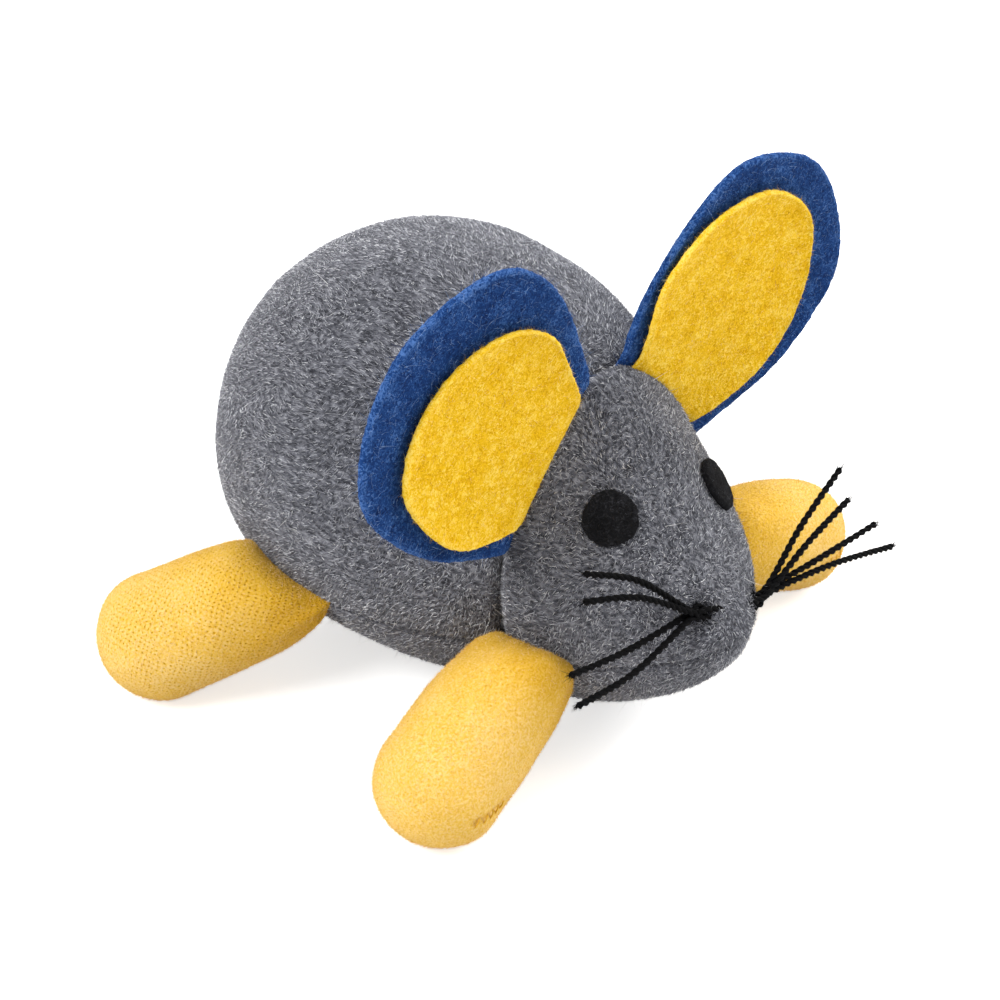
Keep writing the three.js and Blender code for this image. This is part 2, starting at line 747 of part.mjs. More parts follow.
// Filling, in wads that meet at the neck and round the sachet
const pocket_reach = sachet_radius + gap;
const pocket_half_depth = sachet_half_depth + sachet_sheet_thickness + 3 * gap;
const pocket = block(
  [-pocket_reach, sachet_ahead - pocket_reach, middle_height - pocket_half_depth],
  [pocket_reach, sachet_ahead + pocket_reach, middle_height + pocket_half_depth]);
const stuffing = toySolid(plush_thickness + gap, lining_facets).subtract(bore);
const body_wad = stuffing.intersect(behind(neck_ahead - gap / 2)).subtract(pocket);
const upper_wad = body_wad.subtract(below(middle_height + gap / 2));
const lower_wad = body_wad.intersect(below(middle_height - gap / 2));
add(toy, 'body_filling_upper', geometryOf(upper_wad), fibre_white, 1);
add(toy, 'body_filling_lower', geometryOf(lower_wad), fibre_white, 1);
add(toy, 'head_filling', geometryOf(stuffing.subtract(behind(neck_ahead + gap / 2))), fibre_white, 1);
add(toy, 'sachet_sheet_upper', sachetSheet(1), sachet_white, 0.8);
add(toy, 'sachet_sheet_lower', sachetSheet(-1), sachet_white, 0.8);
add(toy, 'catnip_leaf', sachetLeaf(), leaf_green, 1);

// Legs
const front_leg = {
  ahead: front_leg_ahead,
  reach: front_leg_reach,
  toe_radius: front_leg_toe_radius,
  sweep_degrees: front_leg_sweep_degrees,
};
const rear_leg = {
  ahead: rear_leg_ahead,
  reach: rear_leg_reach,
  toe_radius: rear_leg_toe_radius,
  sweep_degrees: rear_leg_sweep_degrees,
};
const leg_table = {
  front_left: legPlace(1, front_leg),
  front_right: legPlace(-1, front_leg),
  rear_left: legPlace(1, rear_leg),
  rear_right: legPlace(-1, rear_leg),
};
for (const [name, leg] of Object.entries(leg_table)) {
  const group = hinged(leg.hinge, leg.axis);
  addHinged(group, `${name}_leg_cover`, legCover(leg), jersey_yellow, 0.95);
  addHinged(group, `${name}_leg_filling`, legFilling(leg), fibre_white, 1);
}

// Ears
const ear_table = {
  left: earPlace(1, {
    outer_end_degrees: left_ear_outer_end_degrees,
    lean_degrees: left_ear_lean_degrees,
    inner_side_cup: left_ear_inner_side_cup,
    inner_outline: left_ear_inner_outline_shares,
    inner_base: left_ear_inner_base_shares,
  }),
  right: earPlace(-1, {
    outer_end_degrees: right_ear_outer_end_degrees,
    lean_degrees: right_ear_lean_degrees,
    inner_side_cup: ear_cup,
    inner_outline: right_ear_inner_outline_shares,
    inner_base: right_ear_inner_base_shares,
  }),
};
for (const [name, ear] of Object.entries(ear_table)) {
  const group = hinged(ear.hinge, ear.axis);
  addHinged(group, `${name}_ear_outer_felt`, earOuter(ear), felt_blue, 1);
  addHinged(group, `${name}_ear_inner_felt`, earInner(ear), felt_yellow, 1);
}

// Eyes and whiskers
add(toy, 'right_eye', eyeDisc(-1, right_eye_ahead, right_eye_rise_degrees), thread_black, 1);
add(toy, 'left_eye', eyeDisc(1, left_eye_ahead, left_eye_rise_degrees), thread_black, 1);
for (let i = 0; i < whisker_seat_shares.length; i += 1) {
  add(toy, `whisker_thread_${i + 1}`, whiskerThread(i), thread_black, 0.7);
}

export default toy;
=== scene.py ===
"""Looks of a catnip mouse: a stuffed body of brushed plush, four stuffed jersey legs, felt
ears and eyes, and whiskers of twisted waxed thread. Metres, +Z up, nose towards -Y, the
mouse's left towards +X."""

import json
import math

import bmesh
import bpy
import numpy as np
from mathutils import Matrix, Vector, kdtree, noise


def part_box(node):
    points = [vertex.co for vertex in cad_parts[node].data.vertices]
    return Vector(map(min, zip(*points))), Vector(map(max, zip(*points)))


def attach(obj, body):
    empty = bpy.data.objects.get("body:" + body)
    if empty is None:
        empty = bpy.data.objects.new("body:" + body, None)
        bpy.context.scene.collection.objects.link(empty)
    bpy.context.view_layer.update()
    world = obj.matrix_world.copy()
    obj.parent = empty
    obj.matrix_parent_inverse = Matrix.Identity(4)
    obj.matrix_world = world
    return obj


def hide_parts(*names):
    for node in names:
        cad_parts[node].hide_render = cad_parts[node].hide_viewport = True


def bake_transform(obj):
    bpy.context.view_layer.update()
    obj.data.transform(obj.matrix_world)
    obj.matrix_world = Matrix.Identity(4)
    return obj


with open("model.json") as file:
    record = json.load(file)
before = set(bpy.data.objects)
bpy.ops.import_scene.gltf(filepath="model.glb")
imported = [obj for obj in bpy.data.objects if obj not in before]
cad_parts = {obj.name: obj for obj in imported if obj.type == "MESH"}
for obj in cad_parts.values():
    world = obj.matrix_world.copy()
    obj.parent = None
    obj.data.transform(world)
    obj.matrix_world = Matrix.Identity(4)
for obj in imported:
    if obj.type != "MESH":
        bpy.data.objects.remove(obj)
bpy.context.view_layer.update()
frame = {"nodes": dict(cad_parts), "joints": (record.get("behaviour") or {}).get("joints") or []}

mm = 0.001
joints = {joint["name"]: joint for joint in frame["joints"]}

# Body: the widest section stands body_rear_length ahead of the rear
back_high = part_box("back_panel")[1]
nose_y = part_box("head_panel")[0].y
body_half_width = back_high.x
body_rear_length = 40 * mm
body_top_rise = 39.5 * mm
body_belly_drop = 32 * mm
rest_flat_depth = 0.5 * mm
middle_height = body_belly_drop - rest_flat_depth
widest_y = back_high.y - body_rear_length
side_cut_share = 0.78
top_cut_share = 0.55
bottom_cut_share = 0.45

# Neck and head
neck_ahead = 34.2 * mm
neck_half_width = 23 * mm
neck_top_rise = 32.4 * mm
neck_bottom_drop = 29.8 * mm
nose_ahead = widest_y - nose_y
nose_height = 27.4 * mm
head_side_powers = (1.8, 1.28)
head_top_powers = (1.08, 1.1)
brow_share = 0.055
brow_fade_length = 8 * mm
nose_blunt_length = 3 * mm
nose_blunt_depth = 0.5 * mm
nose_thin_length = 5 * mm
nose_thin_share = 0.1

# Belly seam: its height over the ground along the toy
seam_side_height = 21 * mm
seam_front_leg_height = 19.8 * mm
seam_rear_height = 25 * mm
seam_nose_height = 27 * mm
seam_chin_height = 23.6 * mm
front_leg_ahead = 40 * mm
rear_leg_ahead = -1.2 * mm
overrun = 6 * mm

# How the fabric rounds into its seams
plush_thickness = 1.6 * mm
neck_seam_radius = 2.1 * mm
belly_seam_radius = 1.1 * mm
pucker_depth = 0.35 * mm
pucker_pitch = 4.5 * mm
pucker_reach = 4 * mm
seam_fade_length = 9 * mm
seam_nose_share = 0.2
lump_depth = 0.45 * mm
lump_size = 17 * mm
small_lump_share = 0.3

# Legs
leg_lip_half_thickness = 1.1 * mm
leg_tuck_length = 3.4 * mm
leg_seam_lead = 1.1 * mm
leg_bend_length = 1.6 * mm
closing_seam_ends = (-3.6 * mm, 3.7 * mm)
closing_seam_depth = 0.7 * mm
closing_seam_width = 0.55 * mm
closing_stitches = 5
closing_stitch_length = 1.7 * mm
closing_stitch_slant = 0.35
closing_stitch_rise = 0.22 * mm
closing_stitch_bend = 1.6 * mm
closing_thread_radius = 0.13 * mm
jersey_thickness = 0.8 * mm
jersey_course = 1.12 * mm
jersey_wale = 1.3 * mm
leg_gather_depth = 0.3 * mm
leg_gather_reach = 5 * mm
leg_lump_depth = 0.5 * mm
leg_lump_size = 9 * mm
leg_lump_base_fade = 8 * mm
leg_lump_toe_fade = 6 * mm
leg_filling_shrink = 1.3 * mm
front_leg = {
    "base_ends": (31.6 * mm, 46 * mm),
    "closing_turns": (math.radians(-8), math.radians(13)),
    "slant": 0.8,
    "lag": 0,
}
rear_leg = {
    "reach": 23.9 * mm,
    "toe": 10.9 * mm,
    "base_ends": (-11.5 * mm, 7 * mm),
    "swell": (16 * mm, 8 * mm),
    "closing_turns": (math.radians(-80), math.radians(-60)),
    "slant": 0,
    "lag": 0.9,
}
leg_table = {
    "front_left": front_leg | {
        "side": 1,
        "reach": 25.3 * mm,
        "toe": 10 * mm,
        "sweep": math.radians(5.5),
        "swell": (18 * mm, 22 * mm),
    },
    "front_right": front_leg | {
        "side": -1,
        "reach": 24.6 * mm,
        "toe": 10.8 * mm,
        "sweep": math.radians(3),
        "swell": (27 * mm, 11 * mm),
    },
    "rear_left": rear_leg | {"side": 1, "sweep": math.radians(-48)},
    "rear_right": rear_leg | {"side": -1, "sweep": math.radians(-47.8)},
}

# Ears
ear_width = 46.7 * mm
ear_height = 46 * mm
ear_inner_width = 37.5 * mm
ear_inner_height = 38.6 * mm
ear_inner_base_lift = 0.5 * mm
ear_outer_thickness = 1.5 * mm
ear_inner_thickness = 1.2 * mm
ear_inner_edge_lift = 0.8 * mm
ear_pinch_length = 4 * mm
ear_pinch_share = 0.4
ear_cup = 2 * mm
ear_base_clearance = 0.7 * mm
ear_tuck_length = 3.2 * mm
ear_tuck_back = 1.5 * mm
ear_tuck_share = 0.86
ear_felt_gap = 0.12 * mm
ear_middle_share = 0.47
ear_table = {
    "left": {
        "side": 1,
        "outer_base": (0.07, 1),
        "outer_side": 1.045,
        "lean": math.radians(8),
        "ends": (math.radians(82), math.radians(10)),
        "inner_side_cup": 0.8 * mm,
        "inner_base": (0.15, 0.86),
        "inner_shares": (
            (0.39, 0.36), (0.365, 0.63), (0.2, 0.88), (-0.1, 1.035), (-0.455, 0.95),
            (-0.65, 0.68), (-0.62, 0.36),
        ),
    },
    "right": {
        "side": -1,
        "outer_base": (0, 1),
        "outer_side": 1,
        "lean": math.radians(-3),
        "ends": (math.radians(82), math.radians(15)),
        "inner_side_cup": ear_cup,
        "inner_base": (0.14, 0.86),
        "inner_shares": (
            (0.43, 0.37), (0.415, 0.63), (0.29, 0.885), (0.03, 0.975), (-0.25, 0.925),
            (-0.47, 0.745), (-0.525, 0.5), (-0.43, 0.27),
        ),
    },
}
ear_outline_shares = (
    (0.41, 0.33), (0.4, 0.64), (0.305, 0.875), (0.045, 1), (-0.245, 0.995),
    (-0.53, 0.81), (-0.58, 0.575), (-0.485, 0.27),
)

# How felt is cut and how even it lies: size and depth of its waves
felt_edge_wave = (0.7 * mm, 0.14 * mm)
felt_edge_roundness = 0.8
# how far in from the cut edge the felt's painted highlight reaches
felt_edge_highlight_reach = 0.7 * mm
felt_lift_reach = 3.5 * mm
felt_lift_start = 8 * mm
felt_waves = ((2.2 * mm, 0.12 * mm), (0.9 * mm, 0.06 * mm))

# Eyes
eye_radius = 4.45 * mm
eye_thickness = 1 * mm
eye_back_lift = 0.1 * mm
eye_front_lift = 0.3 * mm
eye_table = {
    "right": {"side": -1, "ahead": 46.9 * mm, "rise": math.radians(54)},
    "left": {"side": 1, "ahead": 50.2 * mm, "rise": math.radians(47.5)},
}

# Whiskers
thread_radius = 0.57 * mm
thread_pitch = 2.8 * mm
ply_radius_share = 0.66
ply_offset_share = 0.4
frayed_hairs = 26
frayed_lengths = (0.7 * mm, 1.7 * mm)
frayed_radius = 0.05 * mm
whisker_spacing = 1.3 * mm
whisker_length = 29 * mm
whisker_gather_shares = {"right": 0.09, "left": 0.15}
whisker_gather_seat_share = 0.7
whisker_bow = 1.6 * mm
whisker_bow_place = 0.55
whisker_exits = {"right": (-5.6 * mm, 5.6 * mm, 5.6 * mm), "left": (6 * mm, 4.1 * mm, 1.4 * mm)}
whisker_tip_shares = {
    "right": ((0.68, -0.26, 0.48), (0.75, -0.24, 0.37), (0.93, -0.11, 0.07), (0.97, -0.06, -0.06)),
    "left": ((0.93, -0.11, 0.33), (0.88, -0.04, 0.2), (0.99, 0.14, 0.08), (1.2, 0.1, -0.2)),
}
whisker_bow_shares = {"right": (1, 1, -0.4, -0.9), "left": (-0.2, 0.2, 0.1, 1.2)}
# short black fibres round the whisker exits: painted shade of the pile pressed round the threads
exit_shade_reach = 3.6 * mm
exit_shade_density = 6e6
exit_shade_core_density = 22e6
whisker_seat_shares = ((-0.5, 0.5), (0.5, 0.5), (-0.5, -0.5), (0.5, -0.5))


# Shape helpers


def ease(share):
    """0 to 1 with a level start and end."""
    s = np.clip(share, 0, 1)
    return s * s * (3 - 2 * s)


def rounded(share):
    """0 to 1 along a quarter circle: full soon, then level."""
    s = np.clip(share, 0, 1)
    return np.sqrt(1 - (1 - s) ** 2)


def place(across, ahead, height):
    """Points by their place across the toy, ahead of the widest section and over the ground."""
    return np.stack(np.broadcast_arrays(across, widest_y - ahead, height), -1)


def unit(vectors):
    return vectors / np.maximum(np.linalg.norm(vectors, axis=-1, keepdims=True), 1e-12)


def through(points, count):
    """A smooth line through points, as count evenly stepped points of a Catmull-Rom curve."""
    points = np.asarray(points, float)
    last = len(points) - 1
    at = np.linspace(0, last, count)
    first = np.minimum(at.astype(int), last - 1)
    t = (at - first)[:, None]
    p0, p1, p2, p3 = (points[np.clip(first + step, 0, last)] for step in (-1, 0, 1, 2))
    v0, v1 = (p2 - p0) / 2, (p3 - p1) / 2
    return (2 * p1 - 2 * p2 + v0 + v1) * t**3 + (3 * (p2 - p1) - 2 * v0 - v1) * t**2 + v0 * t + p1


def edged(count, share=0.5):
    """0 to 1 in count steps that draw together at both ends."""
    even = np.linspace(0, 1, count)
    return (1 - share) * even + share * (1 - np.cos(np.pi * even)) / 2


def ball_fullness(share, cut_share):
    """1 at the ball's widest section, falling round its curve to 0 at the neck."""
    neck = math.sqrt(1 - cut_share**2)
    return (np.sqrt(1 - (cut_share * share) ** 2) - neck) / (1 - neck)


def head_fullness(share, powers):
    """1 at the neck, falling to 0 at the nose, by one power behind and one at the snout."""
    behind, snout = powers
    return (1 - share**behind) ** (1 / snout)


def section(ahead):
    """Half width, rise, drop and middle height of the cross-section at a station."""
    rear = np.sqrt(1 - np.clip(-ahead / body_rear_length, 0, 1) ** 2)
    ball = np.clip(ahead / neck_ahead, 0, 1)
    head = np.clip((ahead - neck_ahead) / (nose_ahead - neck_ahead), 0, 1)
    side = head_fullness(head, head_side_powers)
    top = head_fullness(head, head_top_powers)

    def size(widest, neck, cut_share, fullness):
        front = neck + (widest - neck) * ball_fullness(ball, cut_share)
        return np.where(ahead <= 0, widest * rear, np.where(ahead <= neck_ahead, front, neck * fullness))

    width = size(body_half_width, neck_half_width, side_cut_share, side)
    rise = size(body_top_rise, neck_top_rise, top_cut_share, top)
    drop = size(body_belly_drop, neck_bottom_drop, bottom_cut_share, side)
    return width, rise, drop, middle_height + (nose_height - middle_height) * head


def skin_point(ahead, angle):
    """Points of the skin by station and by angle up from the mouse's left side."""
    width, rise, drop, middle = section(ahead)
    up = np.sin(angle)
    on_head = ease((ahead - neck_ahead) / brow_fade_length) * ease((nose_ahead - ahead) / brow_fade_length)
    brow = np.where(up > 0, 1 - brow_share * on_head * np.sin(2 * angle) ** 2, 1)
    return place(width * brow * np.cos(angle), ahead, middle + np.where(up > 0, rise * brow, drop) * up)


def skin_normal(ahead, angle):
    """The way out of the skin, measured over a short step along and round it."""
    step = 0.02 * mm
    turn = 1e-3
    inner = np.clip(ahead, -body_rear_length + 2 * step, nose_ahead - 2 * step)
    along = skin_point(inner + step, angle) - skin_point(inner - step, angle)
    round_it = skin_point(inner, angle + turn) - skin_point(inner, angle - turn)
    return unit(np.cross(round_it, along))


seam_line = through(
    [
        (-body_rear_length - overrun, seam_rear_height + overrun / 2),
        (-body_rear_length, seam_rear_height),
        (-body_rear_length / 2, (seam_rear_height + 3 * seam_side_height) / 4),
        (rear_leg_ahead, seam_side_height),
        ((rear_leg_ahead + front_leg_ahead) / 2, seam_side_height),
        (front_leg_ahead, seam_front_leg_height),
        ((2 * front_leg_ahead + nose_ahead) / 3, (3 * seam_front_leg_height + seam_chin_height) / 4),
        ((front_leg_ahead + 3 * nose_ahead) / 4, seam_chin_height),
        (nose_ahead, seam_nose_height),
        (nose_ahead + overrun, seam_nose_height + overrun / 2),
    ],
    400,
)


def seam_angle(ahead):
    """The angle of the belly seam on the mouse's left side; it meets the right one at -90."""
    drop, middle = section(ahead)[2:]
    height = np.interp(ahead, seam_line[:, 0], seam_line[:, 1])
    return np.arcsin(np.clip((height - middle) / np.maximum(drop, 1e-9), -1, 1))


def curve_tree(points):
    """A search tree over a line's points, with how far along the line each one lies."""
    tree = kdtree.KDTree(len(points))
    for i, point in enumerate(points):
        tree.insert(point, i)
    tree.balance()
    steps = np.linalg.norm(np.diff(points, axis=0), axis=1)
    return tree, np.concatenate([[0], np.cumsum(steps)])


def nearest(found, points):
    """Each point's distance from a line, and how far along the line the nearest spot is."""
    tree, along = found
    hits = [tree.find(point) for point in points]
    return np.array([hit[2] for hit in hits]), along[[hit[1] for hit in hits]]


body_reach = np.linspace(-body_rear_length, nose_ahead, 4000)
belly_stations = body_reach[seam_angle(body_reach) > -math.pi / 2 + 1e-6]
belly_rear, belly_nose = belly_stations[0], belly_stations[-1]
left_seam = skin_point(belly_stations, seam_angle(belly_stations))
right_seam = left_seam[::-1] * (-1, 1, 1)
belly_seam = curve_tree(np.concatenate([left_seam, right_seam]))
neck_angles = np.linspace(seam_angle(neck_ahead), math.pi - seam_angle(neck_ahead), 900)
neck_seam = curve_tree(skin_point(np.full(len(neck_angles), neck_ahead), neck_angles))


def tucked(distance, radius):
    """How deep the fabric lies where it rounds into a seam at this distance."""
    near = np.clip(radius - distance, 0, radius)
    return radius - np.sqrt(radius**2 - near**2)


def wavy(points, size, seed):
    """Soft random heights from -1 to 1 over points, with waves of about this size."""
    shift = Vector((seed * 3.7, seed * 1.3, seed * 7.1))
    return np.array([noise.noise(Vector(point) / size + shift) for point in points])


# Mesh helpers


def linked(name, data):
    """A new object of the scene."""
    made = bpy.data.objects.new(name, data)
    bpy.context.scene.collection.objects.link(made)
    return made


def mesh_object(name, points, faces, material=None):
    mesh = bpy.data.meshes.new(name)
    mesh.from_pydata([tuple(point) for point in points], [], faces)
    mesh.validate()
    made = linked(name, mesh)
    if material:
        mesh.materials.append(material)
    mesh.shade_smooth()
    return made


def grid_object(name, grid, material=None, closed=False, uv=None, rim=None):
    """A sheet over rows and columns of points, with what lies on one spot merged."""
    rows, columns = grid.shape[:2]
    across = columns if closed else columns - 1
    faces, corners = [], []
    for row in range(rows - 1):
        for column in range(across):
            after = (column + 1) % columns
            a, b = row * columns, (row + 1) * columns
            faces.append((a + column, a + after, b + after, b + column))
            corners += [(row, column), (row, column + 1), (row + 1, column + 1), (row + 1, column)]
    made = mesh_object(name, grid.reshape(-1, 3), faces, material)
    # rim: how strongly each point takes the painted highlight of a cut edge
    if rim is not None:
        mark = made.data.attributes.new("rim", "FLOAT", "POINT")
        mark.data.foreach_set("value", rim.astype(np.float32).ravel())
    if uv is not None:
        layer = made.data.uv_layers.new(name="cloth")
        places = [uv[row, min(column, uv.shape[1] - 1)] for row, column in corners]
        layer.uv.foreach_set("vector", np.array(places, np.float32).ravel())
    weld(made)
    return made


def weld(piece, distance=1e-6):
    """Merges what lies on one spot and turns the faces out."""
    work = bmesh.new()
    work.from_mesh(piece.data)
    bmesh.ops.remove_doubles(work, verts=work.verts, dist=distance)
    bmesh.ops.dissolve_degenerate(work, edges=work.edges, dist=distance / 10)
    bmesh.ops.recalc_face_normals(work, faces=work.faces)
    work.to_mesh(piece.data)
    work.free()
    piece.data.shade_smooth()


def face_out(piece, middle):
    """Turns an open sheet's faces away from a middle point."""
    mesh = piece.data
    centres = np.array([face.center for face in mesh.polygons])
    normals = np.array([face.normal for face in mesh.polygons])
    areas = np.array([face.area for face in mesh.polygons])
    if (((centres - np.array(middle)) * normals).sum(1) * areas).sum() < 0:
        mesh.flip_normals()


def made_plain(piece, name=None):
    """Turns what a piece's modifiers make into a plain mesh in the piece's place."""
    shown = piece.evaluated_get(bpy.context.evaluated_depsgraph_get())
    mesh = bpy.data.meshes.new_from_object(shown)
    piece.modifiers.clear()
    if name:
        return linked(name, mesh)
    piece.data = mesh
    return piece


def thickened(piece, thickness):
    """A sheet given its cloth's thickness, inwards."""
    modifier = piece.modifiers.new("thickness", "SOLIDIFY")
    modifier.thickness = thickness
    modifier.offset = -1
    modifier.use_rim = True
    if piece.vertex_groups:
        modifier.vertex_group = piece.vertex_groups[0].name
    return made_plain(piece)


# Node helpers


def node(tree, kind, inputs=None, **settings):
    """Adds a node with its settings, and its inputs' values or links."""
    made = tree.nodes.new(kind)
    for name, value in settings.items():
        setattr(made, name, value)
    for socket, value in (inputs or {}).items():
        if isinstance(value, bpy.types.NodeSocket):
            tree.links.new(value, made.inputs[socket])
        else:
            made.inputs[socket].default_value = value
    return made


def maths(tree, operation, *values, **settings):
    """What a maths node makes of numbers or links."""
    inputs = dict(enumerate(values))
    return node(tree, "ShaderNodeMath", inputs, operation=operation, **settings).outputs[0]


def vectors(tree, operation, *values):
    """What a vector maths node makes of vectors or links."""
    return node(tree, "ShaderNodeVectorMath", dict(enumerate(values)), operation=operation).outputs[0]


def mapped(tree, value, **ends):
    """A value put in another range, with the ends that differ from 0 and 1."""
    inputs = {name.replace("_", " ").title(): end for name, end in ends.items()}
    return node(tree, "ShaderNodeMapRange", {"Value": value} | inputs).outputs[0]


def object_place(tree):
    return node(tree, "ShaderNodeTexCoord").outputs["Object"]


def linear(colour):
    """A colour written as sRGB hex, as Blender's linear red, green, blue and alpha."""
    parts = [int(colour[i : i + 2], 16) / 255 for i in (1, 3, 5)]
    return [c / 12.92 if c <= 0.04045 else ((c + 0.055) / 1.055) ** 2.4 for c in parts] + [1]


def ramped(tree, value, stops):
    """A colour ramp over a value, from (place, sRGB hex) stops."""
    ramp = node(tree, "ShaderNodeValToRGB", {"Fac": value})
    while len(ramp.color_ramp.elements) < len(stops):
        ramp.color_ramp.elements.new(0.5)
    for element, (at, colour) in zip(ramp.color_ramp.elements, stops):
        element.position = at
        element.color = linear(colour)
    return ramp.outputs["Color"]


def surface(name, roughness, specular=0.3, sheen=0.0, sheen_tint="#ffffff"):
    """A new material with a Principled shader whose even values are set on its own sockets."""
    material = bpy.data.materials.new(name)
    material.use_nodes = True
    tree = material.node_tree
    shader = tree.nodes["Principled BSDF"]
    shader.inputs["Roughness"].default_value = roughness
    shader.inputs["Specular IOR Level"].default_value = specular
    shader.inputs["Sheen Weight"].default_value = sheen
    shader.inputs["Sheen Tint"].default_value = linear(sheen_tint)
    shader.inputs["Sheen Roughness"].default_value = 0.5
    return material, tree, shader


def noise_at(tree, places, size, detail=2.0, distortion=0.0, stretch=(1, 1, 1), output="Fac"):
    """Noise whose blobs are about size metres, longer where stretch is under 1."""
    stretched = node(tree, "ShaderNodeMapping", {"Vector": places, "Scale": stretch}).outputs[0]
    inputs = {"Vector": stretched, "Scale": 1 / size, "Detail": detail, "Distortion": distortion}
    return node(tree, "ShaderNodeTexNoise", inputs).outputs[output]


def finished(tree, shader, tone, stops, height=None, depth=0.0):
    """Gives a shader its colour from a ramp over a tone, and its relief from a height."""
    tree.links.new(ramped(tree, tone, stops), shader.inputs["Base Color"])
    if height is not None:
        bump = node(tree, "ShaderNodeBump", {"Height": height, "Distance": depth, "Strength": 1.0})
        tree.links.new(bump.outputs[0], shader.inputs["Normal"])


# Materials


def brushed_plush():
    """Polyester plush, knitted and then brushed: short fibres lie in streaks that swirl."""
    material, tree, shader = surface("brushed polyester plush", 0.95, 0.15, 0.35, "#b8b9bf")
    here = object_place(tree)
    swirl = noise_at(tree, here, 9 * mm, output="Color")
    bent = vectors(tree, "MULTIPLY_ADD", swirl, (5 * mm,) * 3, here)
    streaks = noise_at(tree, bent, 0.55 * mm, 3, 0, (1, 0.35, 1))
    patches = noise_at(tree, here, 7 * mm, 3)
    tone = maths(tree, "MULTIPLY_ADD", patches, 0.15, streaks)
    stops = ((0.38, "#222328"), (0.52, "#3f4046"), (0.64, "#5f6067"), (0.76, "#85868c"))
    finished(tree, shader, tone, stops, streaks, 0.3 * mm)
    return material


def fibre_finish(name, stops, specular=0.2, sheen=0.0):
    """Loose fibres of one fabric, each with its own tone."""
    material, tree, shader = surface(name, 0.85, specular, sheen, stops[-1][1])
    tone = node(tree, "ShaderNodeAttribute", attribute_name="tone").outputs["Fac"]
    finished(tree, shader, tone, stops)
    return material


def needled_felt(name, stops, edge_highlight_share=0.0):
    """Needled polyester felt: matted fibres in every direction, with paler and darker patches,
    and a paler cut edge: a painted highlight for the light that the cut lets into the fibres."""
    material, tree, shader = surface(name, 0.97, 0.1, 0.08, stops[-1][1])
    here = object_place(tree)
    matted = noise_at(tree, here, 0.6 * mm, 4, 1.6)
    patches = noise_at(tree, here, 4 * mm, 3)
    tone = maths(tree, "MULTIPLY_ADD", patches, 0.35, matted)
    # painted highlight: the rim attribute makes the colour paler near the cut edge
    rim = node(tree, "ShaderNodeAttribute", attribute_name="rim").outputs["Fac"]
    tone = maths(tree, "MULTIPLY_ADD", rim, edge_highlight_share, tone)
    finished(tree, shader, tone, stops, matted, 0.25 * mm)
    return material


def brushed_jersey(name, pit_share):
    """Polyester jersey, brushed: a soft nap, paler towards the toe and darker at the base by the body
    (painted light and painted shade), that lets the pits between the loops show here and there."""
    material, tree, shader = surface(name, 0.95, 0.12, 0.15, "#ffe9a8")
    here = object_place(tree)
    cloth = node(tree, "ShaderNodeUVMap", uv_map="cloth").outputs[0]
    drift = noise_at(tree, here, 4 * mm, output="Color")
    bent = vectors(tree, "MULTIPLY_ADD", drift, (1.6 * mm,) * 3, cloth)
    turns = (2 * math.pi / jersey_wale, 2 * math.pi / jersey_course, 1)
    turned = node(tree, "ShaderNodeMapping", {"Vector": bent, "Scale": turns}).outputs[0]
    parts = node(tree, "ShaderNodeSeparateXYZ", {0: turned}).outputs
    across, along = (maths(tree, "COSINE", parts[axis]) for axis in "XY")
    loops = maths(tree, "MULTIPLY", across, along, use_clamp=True)
    bare = noise_at(tree, here, 3.5 * mm, 3)
    shown = mapped(tree, bare, from_min=0.3, from_max=0.5, to_max=pit_share)
    pits = maths(tree, "MULTIPLY", maths(tree, "POWER", loops, 4.0), shown)
    height = maths(tree, "SUBTRACT", noise_at(tree, here, 0.4 * mm, 3), pits)
    climb = node(tree, "ShaderNodeSeparateXYZ", {0: cloth}).outputs["Y"]
    # painted light and shade: paler towards the toe, darker towards the base where the body shades the leg
    painted_light_to_toe = mapped(tree, climb, from_min=3 * mm, from_max=27 * mm, to_max=0.3)
    paler = maths(tree, "MULTIPLY_ADD", noise_at(tree, here, 8 * mm), 0.25, painted_light_to_toe)
    tone = maths(tree, "MULTIPLY_ADD", height, 0.8, paler)
    stops = ((0.2, "#a57008"), (0.45, "#cb9717"), (0.6, "#daab30"), (0.78, "#e5bc57"), (0.95, "#ecca80"))
    finished(tree, shader, tone, stops, height, 0.2 * mm)
    return material


def waxed_thread():
    """Black polyester thread, twisted and waxed: fine filaments with a low sheen."""
    material, tree, shader = surface("waxed polyester thread", 0.65, 0.06)
    filaments = noise_at(tree, object_place(tree), 0.22 * mm, 3, 1)
    stops = ((0.35, "#020203"), (0.55, "#070708"), (0.75, "#141416"))
    finished(tree, shader, filaments, stops, filaments, 0.15 * mm)
    return material


def matted_fibre(name, size, stops):
    """Loose fibre or crushed leaf that fills a closed place."""
    material, tree, shader = surface(name, 0.95, 0.2)
    clumps = noise_at(tree, object_place(tree), size, 5, 1.5)
    finished(tree, shader, clumps, stops, clumps, size / 2)
    return material


plush = brushed_plush()
plush_fibre = fibre_finish(
    "plush fibre",
    ((0.0, "#3f4046"), (0.4, "#6f7077"), (0.72, "#9d9ea5"), (0.92, "#c6c7cc"), (1.0, "#f2f2f4")),
    sheen=0.4,
)
pale_fibre = fibre_finish("undyed plush fibre", ((0.0, "#b9babd"), (1.0, "#f4f4f2")))
